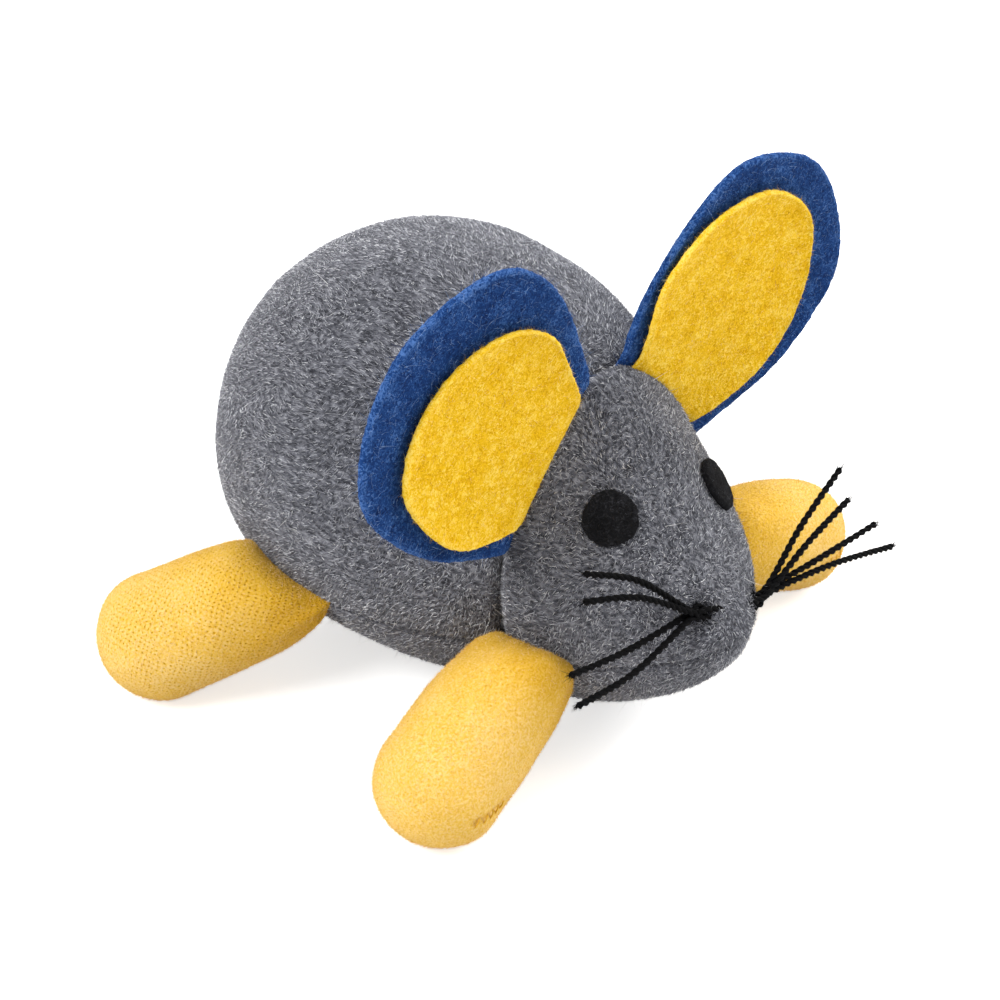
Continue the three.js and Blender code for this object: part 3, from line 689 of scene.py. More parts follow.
# the blue and yellow felts get a painted highlight along their cut edges
blue_felt = needled_felt(
    "blue needled felt",
    ((0.38, "#061536"), (0.56, "#0f2a5a"), (0.72, "#1b3f77"), (0.9, "#4a6ea8")),
    edge_highlight_share=0.08,
)
yellow_felt = needled_felt(
    "yellow needled felt",
    ((0.38, "#b57f00"), (0.54, "#d6a202"), (0.68, "#eaba14"), (0.85, "#f8d660")),
    edge_highlight_share=0.07,
)
black_felt = needled_felt(
    "black needled felt",
    ((0.4, "#050506"), (0.6, "#0d0d0f"), (0.76, "#18181a"), (0.95, "#343438")),
)
blue_fibre = fibre_finish("blue felt fibre", ((0.0, "#0a2152"), (0.6, "#1f4585"), (1.0, "#94afd8")))
yellow_fibre = fibre_finish("yellow felt fibre", ((0.0, "#daa90c"), (0.6, "#f0c536"), (1.0, "#fce8a4")))
black_fibre = fibre_finish("black felt fibre", ((0.0, "#050506"), (0.7, "#101012"), (1.0, "#303034")))
thread_fibre = fibre_finish(
    "loose thread fibre", ((0.0, "#020203"), (0.8, "#080809"), (1.0, "#19191b")), specular=0.04
)
front_jersey = brushed_jersey("brushed jersey, full nap", 0.15)
rear_jersey = brushed_jersey("brushed jersey, thin nap", 0.6)
yellow_thread = fibre_finish("yellow sewing thread", ((0.0, "#d8a834"), (0.6, "#e4b84c"), (1.0, "#f0cc6c")))
jersey_fibre = fibre_finish("jersey nap fibre", ((0.0, "#d4a12c"), (0.6, "#e7bb56"), (1.0, "#f6ddb0")))
thread = waxed_thread()
fibrefill = matted_fibre(
    "polyester fibrefill", 2.5 * mm, ((0.3, "#c9c6bd"), (0.5, "#e9e7e0"), (0.7, "#f6f5f1"))
)
catnip = matted_fibre(
    "dried catnip leaf", 1.2 * mm, ((0.3, "#4b4d2b"), (0.5, "#7c7d4c"), (0.7, "#a3a26d"))
)
nonwoven = matted_fibre(
    "nonwoven sachet paper", 0.8 * mm, ((0.3, "#d0ccbf"), (0.5, "#dedbd0"), (0.7, "#efede6"))
)


# Fibres


def fibre_tree():
    """Fibres over a surface: tapered, closed spikes that lie along a combed, swirling nap."""
    tree = bpy.data.node_groups.new("fibres", "GeometryNodeTree")
    sockets = {
        "Geometry": ("Geometry",),
        "Float": (
            "Density", "Length", "Width", "Bend", "Lift Low", "Lift High", "Swirl", "Swirl Size",
            "Jitter", "Floor",
        ),
        "Int": ("Segments", "Seed"),
        "Vector": ("Comb",),
        "Material": ("Material",),
    }
    for kind, names in sockets.items():
        for name in names:
            tree.interface.new_socket(name, in_out="INPUT", socket_type=f"NodeSocket{kind}")
    tree.interface.new_socket("Geometry", in_out="OUTPUT", socket_type="NodeSocketGeometry")
    given = node(tree, "NodeGroupInput").outputs

    def scaled(vector, factor):
        inputs = {0: vector, "Scale": factor}
        return node(tree, "ShaderNodeVectorMath", inputs, operation="SCALE").outputs[0]

    def drawn(low, high, seed, kind="FLOAT"):
        """A random number, or vector, for each fibre."""
        first = 2 if kind == "FLOAT" else 0
        made = node(tree, "FunctionNodeRandomValue", {first: low, first + 1: high, 8: seed}, data_type=kind)
        return made.outputs[1 if kind == "FLOAT" else 0]

    # Where the fibres stand
    here = node(tree, "GeometryNodeInputPosition").outputs[0]
    height = node(tree, "ShaderNodeSeparateXYZ", {0: here}).outputs["Z"]
    clear = node(tree, "FunctionNodeCompare", {0: height, 1: given["Floor"]}, operation="GREATER_THAN")
    places = {key: given[key] for key in ("Density", "Seed")}
    places |= {"Mesh": given["Geometry"], "Selection": clear.outputs[0]}
    spread = node(tree, "GeometryNodeDistributePointsOnFaces", places)
    out = spread.outputs["Normal"]

    # Which way each one lies
    grain = maths(tree, "DIVIDE", 1.0, given["Swirl Size"])
    swirl = node(tree, "ShaderNodeTexNoise", {"Vector": here, "Scale": grain, "Detail": 1.0})
    centred = vectors(tree, "SUBTRACT", swirl.outputs["Color"], (0.5, 0.5, 0.5))
    combed = vectors(tree, "ADD", given["Comb"], scaled(centred, given["Swirl"]))
    loose = drawn((-1, -1, -1), (1, 1, 1), 11, "FLOAT_VECTOR")
    nap = vectors(tree, "ADD", combed, scaled(loose, given["Jitter"]))
    level = vectors(tree, "SUBTRACT", nap, vectors(tree, "PROJECT", nap, out))
    lift = drawn(given["Lift Low"], given["Lift High"], 12)
    way = vectors(tree, "ADD", vectors(tree, "NORMALIZE", level), scaled(out, lift))
    turn = "FunctionNodeAlignRotationToVector"
    turned = node(tree, turn, {"Vector": way}, axis="Z").outputs[0]
    rolled = node(tree, turn, {"Rotation": turned, "Vector": out}, axis="X", pivot_axis="Z").outputs[0]

    # One fibre: a bent spike
    spike = node(
        tree,
        "GeometryNodeMeshCone",
        {
            "Vertices": 3,
            "Side Segments": given["Segments"],
            "Radius Top": 0.0,
            "Radius Bottom": maths(tree, "DIVIDE", given["Width"], 2.0),
            "Depth": given["Length"],
        },
        fill_type="NGON",
    ).outputs["Mesh"]
    along = node(tree, "GeometryNodeInputPosition").outputs[0]
    rise = node(tree, "ShaderNodeSeparateXYZ", {0: along}).outputs["Z"]
    square = maths(tree, "POWER", maths(tree, "DIVIDE", rise, given["Length"]), 2.0)
    offset = node(tree, "ShaderNodeCombineXYZ", {"X": maths(tree, "MULTIPLY", square, given["Bend"])})
    bent = node(tree, "GeometryNodeSetPosition", {"Geometry": spike, "Offset": offset.outputs[0]})

    # All of them, each with its own size and tone
    thin = drawn(0.7, 1.25, 13)
    long = drawn(0.6, 1.3, 14)
    size = node(tree, "ShaderNodeCombineXYZ", {"X": thin, "Y": thin, "Z": long}).outputs[0]
    fibre = {"Instance": bent.outputs[0], "Rotation": rolled, "Scale": size}
    placed = node(tree, "GeometryNodeInstanceOnPoints", {"Points": spread.outputs["Points"]} | fibre)
    toned = node(
        tree,
        "GeometryNodeStoreNamedAttribute",
        {"Geometry": placed.outputs[0], "Name": "tone", "Value": drawn(0.0, 1.0, 15)},
        data_type="FLOAT",
        domain="INSTANCE",
    )
    real = node(tree, "GeometryNodeRealizeInstances", {0: toned.outputs[0]}).outputs[0]
    dyed = node(tree, "GeometryNodeSetMaterial", {"Geometry": real, "Material": given["Material"]})
    node(tree, "NodeGroupOutput", {"Geometry": dyed.outputs[0]})
    return tree


fibres = fibre_tree()
fibre_sockets = [item for item in fibres.interface.items_tree if item.in_out == "INPUT"]
fibre_inputs = {item.name: item.identifier for item in fibre_sockets}


def grown(name, carrier, body, slot, **values):
    """Fibres that stand on a carrier sheet, as a plain mesh of their own."""
    modifier = carrier.modifiers.new("fibres", "NODES")
    modifier.node_group = fibres
    for key, value in values.items():
        modifier[fibre_inputs[key.replace("_", " ").title()]] = value
    carrier.update_tag()
    made = made_plain(carrier, name)
    spots = np.empty(len(made.data.vertices) * 3, np.float32)
    made.data.vertices.foreach_get("co", spots)
    spots[2::3] = np.maximum(spots[2::3], 0)
    made.data.vertices.foreach_set("co", spots)
    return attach(made, body) if body else made


# Plush panels


def panel_sheet(name, stations, low, high, columns, seams):
    """One plush panel's outer surface, rounded into its seams and a little uneven."""
    shares = edged(columns)
    ahead = np.repeat(stations[:, None], columns, 1)
    angle = low[:, None] + (high - low)[:, None] * shares
    points = skin_point(ahead, angle).reshape(-1, 3)
    out = skin_normal(ahead, angle).reshape(-1, 3)
    depth = np.zeros(len(points))
    calm = np.ones(len(points))
    behind_nose = nose_ahead - (widest_y - points[:, 1])
    near_nose = seam_nose_share + (1 - seam_nose_share) * ease(behind_nose / seam_fade_length)
    for seam, radius in seams:
        distance, along = nearest(seam, points)
        fade = np.exp(-distance / pucker_reach)
        line = np.stack([along, 0 * along, 0 * along], 1)
        crease = tucked(distance, radius) + pucker_depth * fade * (1 + wavy(line, pucker_pitch, 2)) / 2
        depth = np.maximum(depth, crease * near_nose)
        calm = np.minimum(calm, ease(distance / pucker_reach))
    depth += nose_blunt_depth * (1 - ease(behind_nose / nose_blunt_length))
    lumps = wavy(points, lump_size, 1) + small_lump_share * wavy(points, lump_size / 3, 4)
    points += out * (calm * lump_depth * lumps - depth)[:, None]
    points[:, 2] = np.maximum(points[:, 2], 0)
    made = grid_object(name, points.reshape(len(stations), columns, 3), plush)
    face_out(made, (0, widest_y - np.mean(stations), middle_height))
    thickness = made.vertex_groups.new(name="thickness")
    for vertex in made.data.vertices:
        share = float(ease((vertex.co.y - nose_y) / nose_thin_length))
        thickness.add([vertex.index], nose_thin_share + (1 - nose_thin_share) * share, "REPLACE")
    return made


def plush_panel(name, node_name, sheet):
    """The panel itself, with its backing and pile as one thickness."""
    panel = thickened(sheet, plush_thickness)
    panel.name = name
    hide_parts(node_name)
    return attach(panel, "root")


# How finely the panels are divided along and across
ball_steps = 62
front_steps = 44
head_steps = 52
under_steps = 120
back_columns = 230
head_columns = 170
belly_columns = 120
rear_stations = -body_rear_length * np.cos(np.linspace(0, math.pi / 2, ball_steps))
front_stations = neck_ahead * edged(front_steps, 0.6)[1:]
head_stations = neck_ahead + (nose_ahead - neck_ahead) * np.sin(edged(head_steps, 0.3) * math.pi / 2)
body_stations = np.concatenate([rear_stations, front_stations])
under_stations = belly_rear + (belly_nose - belly_rear) * edged(under_steps, 0.8)

pile = {
    "density": 6e6,
    "length": 0.8 * mm,
    "width": 0.135 * mm,
    "segments": 1,
    "bend": 0.0,
    "lift_low": 0.12,
    "lift_high": 0.8,
    "comb": (0, 0.5, -0.3),
    "swirl": 2.6,
    "swirl_size": 9 * mm,
    "jitter": 0.6,
    "floor": 0.8 * mm,
    "material": plush_fibre,
}
strays = pile | {
    "density": 0.1e6,
    "length": 2.2 * mm,
    "width": 0.06 * mm,
    "segments": 4,
    "bend": 1.1 * mm,
    "lift_low": 0.1,
    "lift_high": 0.9,
    "jitter": 1.2,
}
pale_strays = strays | {
    "density": 0.006e6,
    "length": 3.4 * mm,
    "width": 0.09 * mm,
    "material": pale_fibre,
}


def covered(sheet, name, seed):
    """The pile of a panel, and the longer fibres that the brushing left loose."""
    grown(f"{name}_pile", sheet, "root", "gray_plush", seed=seed, **pile)
    grown(f"{name}_loose_fibres", sheet, "root", "gray_plush", seed=seed + 1, **strays)
    grown(f"{name}_pale_fibres", sheet, "root", "gray_plush", seed=seed + 2, **pale_strays)


def part_of(sheet, keeps):
    """The part of a sheet whose face centres pass a test, to carry fibres."""
    work = bmesh.new()
    work.from_mesh(sheet.data)
    gone = [face for face in work.faces if not keeps(face.calc_center_median())]
    bmesh.ops.delete(work, geom=gone, context="FACES")
    mesh = bpy.data.meshes.new(sheet.name + "_part")
    work.to_mesh(mesh)
    work.free()
    return linked(mesh.name, mesh)


def add_exit_shade_fibres(head):
    """Short black fibres round the places where the threads come out: painted shade of the pile pressed
    round them.
    """
    for seed, (word, (out, setback, rise)) in enumerate(whisker_exits.items()):
        spot = Vector(place(out, nose_ahead - setback, nose_height + rise))
        for reach, density in ((exit_shade_reach, exit_shade_density), (exit_shade_reach / 2, exit_shade_core_density)):
            patch = part_of(head, lambda centre: (centre - spot).length < reach)
            name = f"whisker_lint_{word}_{round(reach / mm * 10)}"
            # painted shade: dark fibres in the pile round the exit
            values = felt_fuzz | {"density": density, "length": 1 * mm, "width": 0.08 * mm}
            values["material"] = thread_fibre
            grown(name, patch, "root", "black_waxed_thread", seed=11 + seed, **values)
            bpy.data.objects.remove(patch)


def build_plush():
    both = [(belly_seam, belly_seam_radius), (neck_seam, neck_seam_radius)]
    over = seam_angle(body_stations)
    back = panel_sheet("back_plush", body_stations, over, math.pi - over, back_columns, both)
    over = seam_angle(head_stations)
    head = panel_sheet("head_plush", head_stations, over, math.pi - over, head_columns, both)
    under = seam_angle(under_stations)
    belly = panel_sheet(
        "belly_plush", under_stations, math.pi - under, 2 * math.pi + under, belly_columns,
        [(belly_seam, belly_seam_radius)],
    )
    for side, word, seed in ((1, "left", 1), (-1, "right", 3)):
        half = part_of(back, lambda centre: centre.x * side > 0)
        covered(half, f"back_{word}", seed)
        bpy.data.objects.remove(half)
    # painted shade: short black fibres round the whisker exits
    add_exit_shade_fibres(head)
    covered(head, "head", 5)
    covered(belly, "belly", 7)
    plush_panel("back_plush", "back_panel", back)
    plush_panel("head_plush", "head_panel", head)
    plush_panel("belly_plush", "belly_panel", belly)


# Legs


def leg_frame(name):
    """The leg's hinge, its ways along, out and down, and its sizes."""
    values = leg_table[name]
    joint = joints[f"{name}_leg_hinge"]
    side = values["side"]
    hinge = np.array(joint["pos_m"])
    along = np.array(joint["axis"]) * side
    out = np.array([side, 0, 0]) - along * along[0] * side
    drop = hinge[2] - (values["toe"] - rest_flat_depth)
    level = math.sqrt(values["reach"] ** 2 - drop**2)
    sweep = values["sweep"]
    way = unit(np.array([side * level * math.cos(sweep), -level * math.sin(sweep), -drop]))
    return values | {"hinge": hinge, "along": unit(along), "out": unit(out), "way": way}


def limb_centre(leg, x):
    """A point of the limb's middle line: out through the seam, then round a bend and down."""
    hinge, out, way = leg["hinge"], leg["out"], leg["way"]
    if abs(x) >= leg_bend_length:
        return hinge + (way if x > 0 else out) * x
    bend = (x + leg_bend_length) / (2 * leg_bend_length)
    tail = hinge - out * leg_bend_length
    tip = hinge + way * leg_bend_length
    return tail * (1 - bend) ** 2 + hinge * 2 * bend * (1 - bend) + tip * bend**2


def leg_surface(leg, sides=112):
    """A limb that swells out of its slit in the belly seam into a round tube with a domed toe."""
    along, way, toe, reach = (leg[key] for key in ("along", "way", "toe", "reach"))
    deep = unit(np.cross(way, along)) * -leg["side"]
    across = unit(along - way * along.dot(way))
    angle = np.linspace(0, 2 * math.pi, sides + 1)
    ahead = np.interp(np.cos(angle), (-1, 1), leg["base_ends"])
    slit = skin_point(ahead, seam_angle(ahead)) * (leg["side"], 1, 1) - leg["hinge"]
    inside = np.linspace(-leg_tuck_length, -leg_seam_lead, 9)
    straight = -leg_seam_lead + (reach + leg_seam_lead) * np.linspace(0, 1, 60)[1:] ** 1.8
    dome = reach + toe * np.sin(np.linspace(0, math.pi / 2, 27))[1:]
    stations = np.concatenate([inside, straight, dome])
    width_swell, depth_swell = leg["swell"]
    grid = np.zeros((len(stations), sides + 1, 3))
    for i, x in enumerate(stations):
        started = x + leg_seam_lead
        wide = rounded(started / (width_swell * (1 + leg["lag"] * np.maximum(np.cos(angle), 0))))
        full = rounded(started / (depth_swell * (1 - leg["slant"] * np.cos(angle))))
        cap = math.sqrt(max(0.0, 1 - (max(x - reach, 0) / toe) ** 2))
        width = slit * (1 - wide)[:, None] + across * (toe * wide * np.cos(angle))[:, None]
        depth = leg_lip_half_thickness + (toe - leg_lip_half_thickness) * full
        grid[i] = limb_centre(leg, x) + (width + deep * (depth * np.sin(angle))[:, None]) * cap
    return grid, stations, angle


def closing_seam(leg, grid, out, stations, count=40):
    """The line at the toe where the filled cover was sewn shut, and the ways out along it."""
    columns = grid.shape[1] - 1
    x = leg["reach"] + np.linspace(*closing_seam_ends, count)
    turns = np.linspace(*leg["closing_turns"], count) % (2 * math.pi)
    rows = np.searchsorted(stations, x)
    after = np.round(turns / (2 * math.pi) * columns).astype(int) % columns
    line = grid[rows, after]
    smooth = np.stack([np.convolve(line[:, k], np.ones(7) / 7, "valid") for k in range(3)], -1)
    return smooth, unit(out[rows, after])[3:-3]


def add_closing_stitches(name, seam, out):
    """Short slanted stitches of yellow thread over the closing seam."""
    points, faces = [], []
    for at in np.linspace(2, len(seam) - 3, closing_stitches).astype(int):
        way = unit(seam[at + 2] - seam[at - 2])
        over = unit(np.cross(out[at], way) + closing_stitch_slant * way)
        share = np.linspace(-0.35, 0.65, 7)[:, None]
        arch = out[at] * (closing_stitch_rise - closing_stitch_bend * (share / 1.6) ** 2)
        start = seam[at] - out[at] * closing_seam_depth * 0.2
        stitch = start + over * share * closing_stitch_length + arch
        made = tube_mesh(tube(stitch, np.full(7, closing_thread_radius), 8), len(points))
        points += made[0]
        faces += made[1]
    stitches = mesh_object(f"{name}_leg_closing_stitches", points, faces, yellow_thread)
    weld(stitches, 1e-9)
    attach(stitches, f"{name}_leg")


def leg_cover(name, leg):
    """The jersey cover: gathered where it is sewn in, uneven over its filling."""
    grid, stations, angle = leg_surface(leg)
    rows, columns = grid.shape[:2]
    centre = grid[:, :-1].mean(1)[:, None]
    out = unit(grid - centre + 1e-9)
    end = leg["reach"] + leg["toe"]
    started = ease((stations + leg_seam_lead) / mm)
    near_base = np.exp(-np.maximum(stations, 0) / leg_gather_reach) * started
    gathers = near_base[:, None] * np.sin(angle * 9 + 0.9 * np.sin(angle * 4)) * leg_gather_depth
    fade = ease(stations / leg_lump_base_fade) * ease((end - stations) / leg_lump_toe_fade)
    flat = grid.reshape(-1, 3)
    lumps = (wavy(flat, leg_lump_size, leg["seed"]) * leg_lump_depth).reshape(rows, columns)
    lumps[:, -1] = lumps[:, 0]
    grid = grid + out * (gathers + lumps * fade[:, None])[..., None]
    grid[..., 2] = np.maximum(grid[..., 2], 0)
    grid[:, -1] = grid[:, 0]
    ring_steps = np.linalg.norm(np.diff(grid, axis=1), axis=2)
    arc = np.concatenate([np.zeros((rows, 1)), np.cumsum(ring_steps, 1)], 1)
    arc -= arc[:, [columns // 4]]
    line = np.linalg.norm(np.diff(grid[:, columns // 4], axis=0), axis=1)
    climb = np.concatenate([[0], np.cumsum(line)])[:, None] + 0 * arc
    seam, seam_out = closing_seam(leg, grid, out, stations)
    distance = nearest(curve_tree(seam), grid.reshape(-1, 3))[0].reshape(rows, columns)
    grid = grid - out * (closing_seam_depth * np.exp(-((distance / closing_seam_width) ** 2)))[..., None]
    add_closing_stitches(name, seam, seam_out)
    jersey = front_jersey if name.startswith("front") else rear_jersey
    cover = grid_object(f"{name}_leg_sheet", grid, jersey, uv=np.stack([arc, climb], -1))
    face_out(cover, leg["hinge"] + leg["way"] * leg["reach"])
    return cover


nap = {
    "density": 6.5e6,
    "length": 0.6 * mm,
    "width": 0.06 * mm,
    "segments": 1,
    "bend": 0.0,
    "lift_low": 0.15,
    "lift_high": 1.4,
    "comb": (0, 0, 0.1),
    "swirl": 2.0,
    "swirl_size": 6 * mm,
    "jitter": 1.0,
    "floor": 0.6 * mm,
    "material": jersey_fibre,
}


def build_legs():
    for seed, name in enumerate(leg_table):
        leg = leg_frame(name) | {"seed": 20 + seed}
        cover = leg_cover(name, leg)
        fuzz = grown(f"{name}_leg_nap", cover, None, "yellow_jersey", seed=40 + seed, **nap)
        cover = thickened(cover, jersey_thickness)
        cover.name = f"{name}_leg_jersey"
        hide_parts(f"{name}_leg_cover")
        for piece in (cover, fuzz):
            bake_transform(piece)


# Ears


def ear_frame(name):
    """The ear's fold line, its ways along, out and to the front, and its sewn base."""
    values = ear_table[name]
    joint = joints[f"{name}_ear_hinge"]
    side = values["side"]
    hinge = np.array(joint["pos_m"])
    along = unit(np.array(joint["axis"]) * side)
    forward = np.array([0, -1, 0])
    up = unit(np.cross(along, forward) * -side)
    seat = widest_y - hinge[1]
    rim_width = neck_half_width + ear_base_clearance
    rim_rise = neck_top_rise + ear_base_clearance

    def rim(angle):
        return place(side * rim_width * np.cos(angle), seat, middle_height + rim_rise * np.sin(angle))

    ends = rim(np.array(values["ends"]))
    middle = ends.mean(0)

    def base(shares):
        angle = values["ends"][0] + (values["ends"][1] - values["ends"][0]) * shares
        points = rim(angle) - middle
        return np.stack([points @ along, points @ up], -1)

    bulge = base(np.array([0.5]))[0, 1]
    lean = values["lean"]
    out = up * math.cos(lean) + forward * math.sin(lean)
    front = forward * math.cos(lean) - up * math.sin(lean)

    def to_space(flat, height):
        return hinge + along * flat[:, [0]] + out * (flat[:, [1]] - bulge) + front * height[:, None]

    return {"hinge": hinge, "out": out, "base": base, "to_space": to_space}


def ear_outline(ear, base_range, base_lift, shares, width, height, count=440):
    """The cut edge of an ear piece, evenly stepped, with its sewn edge tucked into the seam."""
    sewn = ear["base"](np.linspace(*base_range, 24)) + (0, base_lift)
    free = np.array(shares) * (width, height)
    edge = through(np.concatenate([sewn[-1:], free, sewn[:1]]), 160)
    tuck = sewn * (ear_tuck_share, 1) - (0, ear_tuck_length)
    outline = np.concatenate([tuck, edge])
    closed = np.concatenate([outline, outline[:1]])
    steps = np.linalg.norm(np.diff(closed, axis=0), axis=1)
    along = np.concatenate([[0], np.cumsum(steps)])
    even = np.linspace(0, along[-1], count, endpoint=False)
    return np.stack([np.interp(even, along, closed[:, k]) for k in (0, 1)], -1)


def ear_curl(flat, inner_side_cup):
    """How far the ear's middle surface stands forward: its sides curl, its base tucks back."""
    side = flat[:, 0] / (ear_width / 2)
    cup = np.where(side < 0, inner_side_cup, ear_cup)
    tuck = ear_tuck_back * (1 - ease((flat[:, 1] + ear_tuck_length) / (2 * ear_tuck_length)))
    return cup * side * side * ease(flat[:, 1] / (ear_height / 2)) - tuck


def ear_pinch(flat):
    """How much of its thickness the felt keeps where the seam pinches it."""
    return ear_pinch_share + (1 - ear_pinch_share) * ease(flat[:, 1] / ear_pinch_length)


def felt_piece(name, outline, middle, levels, to_space, material, seed, edge_lift=0.0):
    """A cut felt piece: both faces and a soft, rounded, ragged cut edge, closed all round.

    levels gives the height of the back and of the front face over flat places, and edge_lift
    how far the free edge stands off what it lies on."""
    back, front = levels
    inward = unit(middle - outline)
    wave, wave_depth = felt_edge_wave
    ragged = wavy(outline @ np.array([[1, 0, 0], [0, 1, 0]]), wave, seed + 2) * wave_depth
    outline = outline + inward * ragged[:, None]
    reach = np.linalg.norm(middle - outline, axis=1)
    half = (front(outline) - back(outline)) / 2
    mid = (front(outline) + back(outline)) / 2
    rings = []
    for sign, level in ((-1, back), (1, front)):
        side = []
        for turn in np.linspace(0, math.pi / 2, 7):
            drawn = half * (1 - math.cos(turn)) * felt_edge_roundness
            flat = outline + inward * drawn[:, None]
            side.append((flat, mid + sign * half * math.sin(turn), 0 * drawn))
        start = half * felt_edge_roundness
        for share in np.linspace(0, 1, 22)[1:-1] ** 1.4:
            drawn = start + (reach - start) * share
            flat = outline + inward * drawn[:, None]
            side.append((flat, level(flat), drawn))
        last = np.repeat(middle[None], len(outline), 0)
        side.append((last, level(last), reach))
        rings.append(side)
    order = rings[0][::-1] + rings[1][1:]
    flats, heights, drawn = (np.concatenate([ring[k] for ring in order]) for k in range(3))
    free = ease(flats[:, 1] / felt_lift_start)
    heights = heights + edge_lift * np.exp(-drawn / felt_lift_reach) * free
    points = to_space(flats, heights)
    rough = sum(wavy(points, size, seed + i) * depth for i, (size, depth) in enumerate(felt_waves))
    points = to_space(flats, heights + rough)
    shape = (len(order), len(outline))
    # painted highlight: a weight that falls off inwards from the cut edge, stored as the rim attribute
    rim = np.exp(-drawn / felt_edge_highlight_reach).reshape(shape)
    return grid_object(name, points.reshape(*shape, 3), material, closed=True, rim=rim)


felt_fibres = {
    "density": 0.75e6,
    "length": 2.3 * mm,
    "width": 0.05 * mm,
    "segments": 4,
    "bend": 1.1 * mm,
    "lift_low": -0.04,
    "lift_high": 0.16,
    "comb": (0, 0, 0),
    "swirl": 0.5,
    "swirl_size": 5 * mm,
    "jitter": 1.0,
    "floor": 0.0,
}
felt_fuzz = felt_fibres | {
    "density": 3.2e6,
    "length": 0.65 * mm,
    "width": 0.045 * mm,
    "segments": 1,
    "bend": 0.0,
    "lift_high": 0.9,
}


def flat_size(outline):
    """The width and height of the flat piece that an outline is cut from."""
    return tuple(float(extent) for extent in np.ptp(outline, axis=0))


def build_ears():
    for seed, (name, values) in enumerate(ear_table.items()):
        ear = ear_frame(name)
        cup = values["inner_side_cup"]
        outer_shares = [(x * values["outer_side"] if x > 0 else x, y) for x, y in ear_outline_shares]
        back_cut = ear_outline(ear, values["outer_base"], 0, outer_shares, ear_width, ear_height)
        back_levels = (
            lambda flat: ear_curl(flat, cup) - ear_outer_thickness * ear_pinch(flat),
            lambda flat: ear_curl(flat, cup),
        )
        outer = felt_piece(
            f"{name}_ear_blue_felt", back_cut, np.array([0, ear_height * ear_middle_share]),
            back_levels, ear["to_space"], blue_felt, 60 + seed,
        )
        front_cut = ear_outline(
            ear, values["inner_base"], ear_inner_base_lift, values["inner_shares"],
            ear_inner_width, ear_inner_height,
        )
        front_levels = (
            lambda flat: ear_curl(flat, cup) + ear_felt_gap,
            lambda flat: ear_curl(flat, cup) + ear_felt_gap + ear_inner_thickness * ear_pinch(flat),
        )
        inner = felt_piece(
            f"{name}_ear_yellow_felt", front_cut, np.array([0, ear_inner_height * ear_middle_share]),
            front_levels, ear["to_space"], yellow_felt, 70 + seed, ear_inner_edge_lift,
        )
        short = felt_fibres | {"length": 1.1 * mm, "bend": 0.4 * mm}
        for piece, node_name, slot, fibre, outline, fibres_here in (
            (outer, f"{name}_ear_outer_felt", "blue_felt", blue_fibre, back_cut, felt_fibres),
            (inner, f"{name}_ear_inner_felt", "yellow_felt", yellow_fibre, front_cut, short),
        ):
            loose = [
                grown(f"{piece.name}_{word}", piece, None, slot, seed=80 + seed, material=fibre, **kind)
                for word, kind in (("fibres", fibres_here), ("fuzz", felt_fuzz))
            ]
            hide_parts(node_name)
            area = sum(face.area for face in piece.data.polygons) / 2
            flat = flat_size(outline)
            area = min(area, flat[0] * flat[1])
            for part in (piece, *loose):
                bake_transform(part)


# Eyes


def build_eyes():
    for seed, (name, values) in enumerate(eye_table.items()):
        side, ahead, rise = values["side"], values["ahead"], values["rise"]
        here = skin_point(np.array([ahead]), np.array([rise]))[0]
        forward = (skin_point(np.array([ahead + 0.1 * mm]), np.array([rise]))[0] - here) / (0.1 * mm)
        turn = (skin_point(np.array([ahead]), np.array([rise + 1e-3]))[0] - here) / 1e-3
        forward_rate = np.linalg.norm(forward)
        skew = turn @ forward / forward_rate
        turn_rate = math.sqrt(turn @ turn - skew**2)

        def to_space(flat, height):
            turned = flat[:, 1] / turn_rate
            angles = rise + turned
            stations = ahead + (flat[:, 0] - skew * turned) / forward_rate
            points = skin_point(stations, angles) + skin_normal(stations, angles) * height[:, None]
            return points * (side, 1, 1)

        angle = np.linspace(0, 2 * math.pi, 160, endpoint=False)
        rag = 1 + 0.012 * np.sin(angle * 5 + seed) + 0.008 * np.sin(angle * 11)
        outline = np.stack([np.cos(angle), np.sin(angle)], -1) * (eye_radius * rag)[:, None]
        levels = (
            lambda flat: np.full(len(flat), eye_back_lift),
            lambda flat: np.full(len(flat), eye_front_lift + eye_thickness),
        )
        middle = np.zeros(2)
        eye = felt_piece(f"{name}_eye_felt", outline, middle, levels, to_space, black_felt, 90 + seed)
        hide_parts(f"{name}_eye")
        grown(
            f"{name}_eye_fibres", eye, "root", "black_felt", seed=95 + seed, material=black_fibre,
            **(felt_fuzz | {"length": 0.8 * mm, "density": 6e6}),
        )
        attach(eye, "root")


# Whiskers


def whisker_route(index):
    """A thread's line: a free whisker on the right, through the snout, one on the left."""
    exits = {
        word: place(out, nose_ahead - setback, nose_height + rise)
        for word, (out, setback, rise) in whisker_exits.items()
    }
    along = unit(exits["left"] - exits["right"])
    up = unit(np.array([0, 0, 1]) - along * along[2])
    forward = unit(np.cross(along, up))
    forward = forward * (-1 if forward[1] > 0 else 1)
    forward_share, up_share = whisker_seat_shares[index]
    seat = (forward * forward_share + up * up_share) * whisker_spacing

    def free_end(word):
        sign = 1 if word == "left" else -1
        root = exits[word] + seat
        out_share, ahead_share, rise_share = whisker_tip_shares[word][index]
        reach = np.array([sign * out_share, -ahead_share, rise_share]) * whisker_length
        mean_share = np.mean(whisker_tip_shares[word], axis=0)
        mean_reach = np.array([sign, -1, 1]) * mean_share * whisker_length
        gathered = exits[word] + whisker_gather_seat_share * seat
        gathered = gathered + mean_reach * whisker_gather_shares[word]
        bow = np.array([0, 0, whisker_bow * whisker_bow_shares[word][index]])
        return [root, gathered, root + reach * whisker_bow_place + bow, root + reach]

    return np.array(free_end("right")[::-1] + free_end("left"))


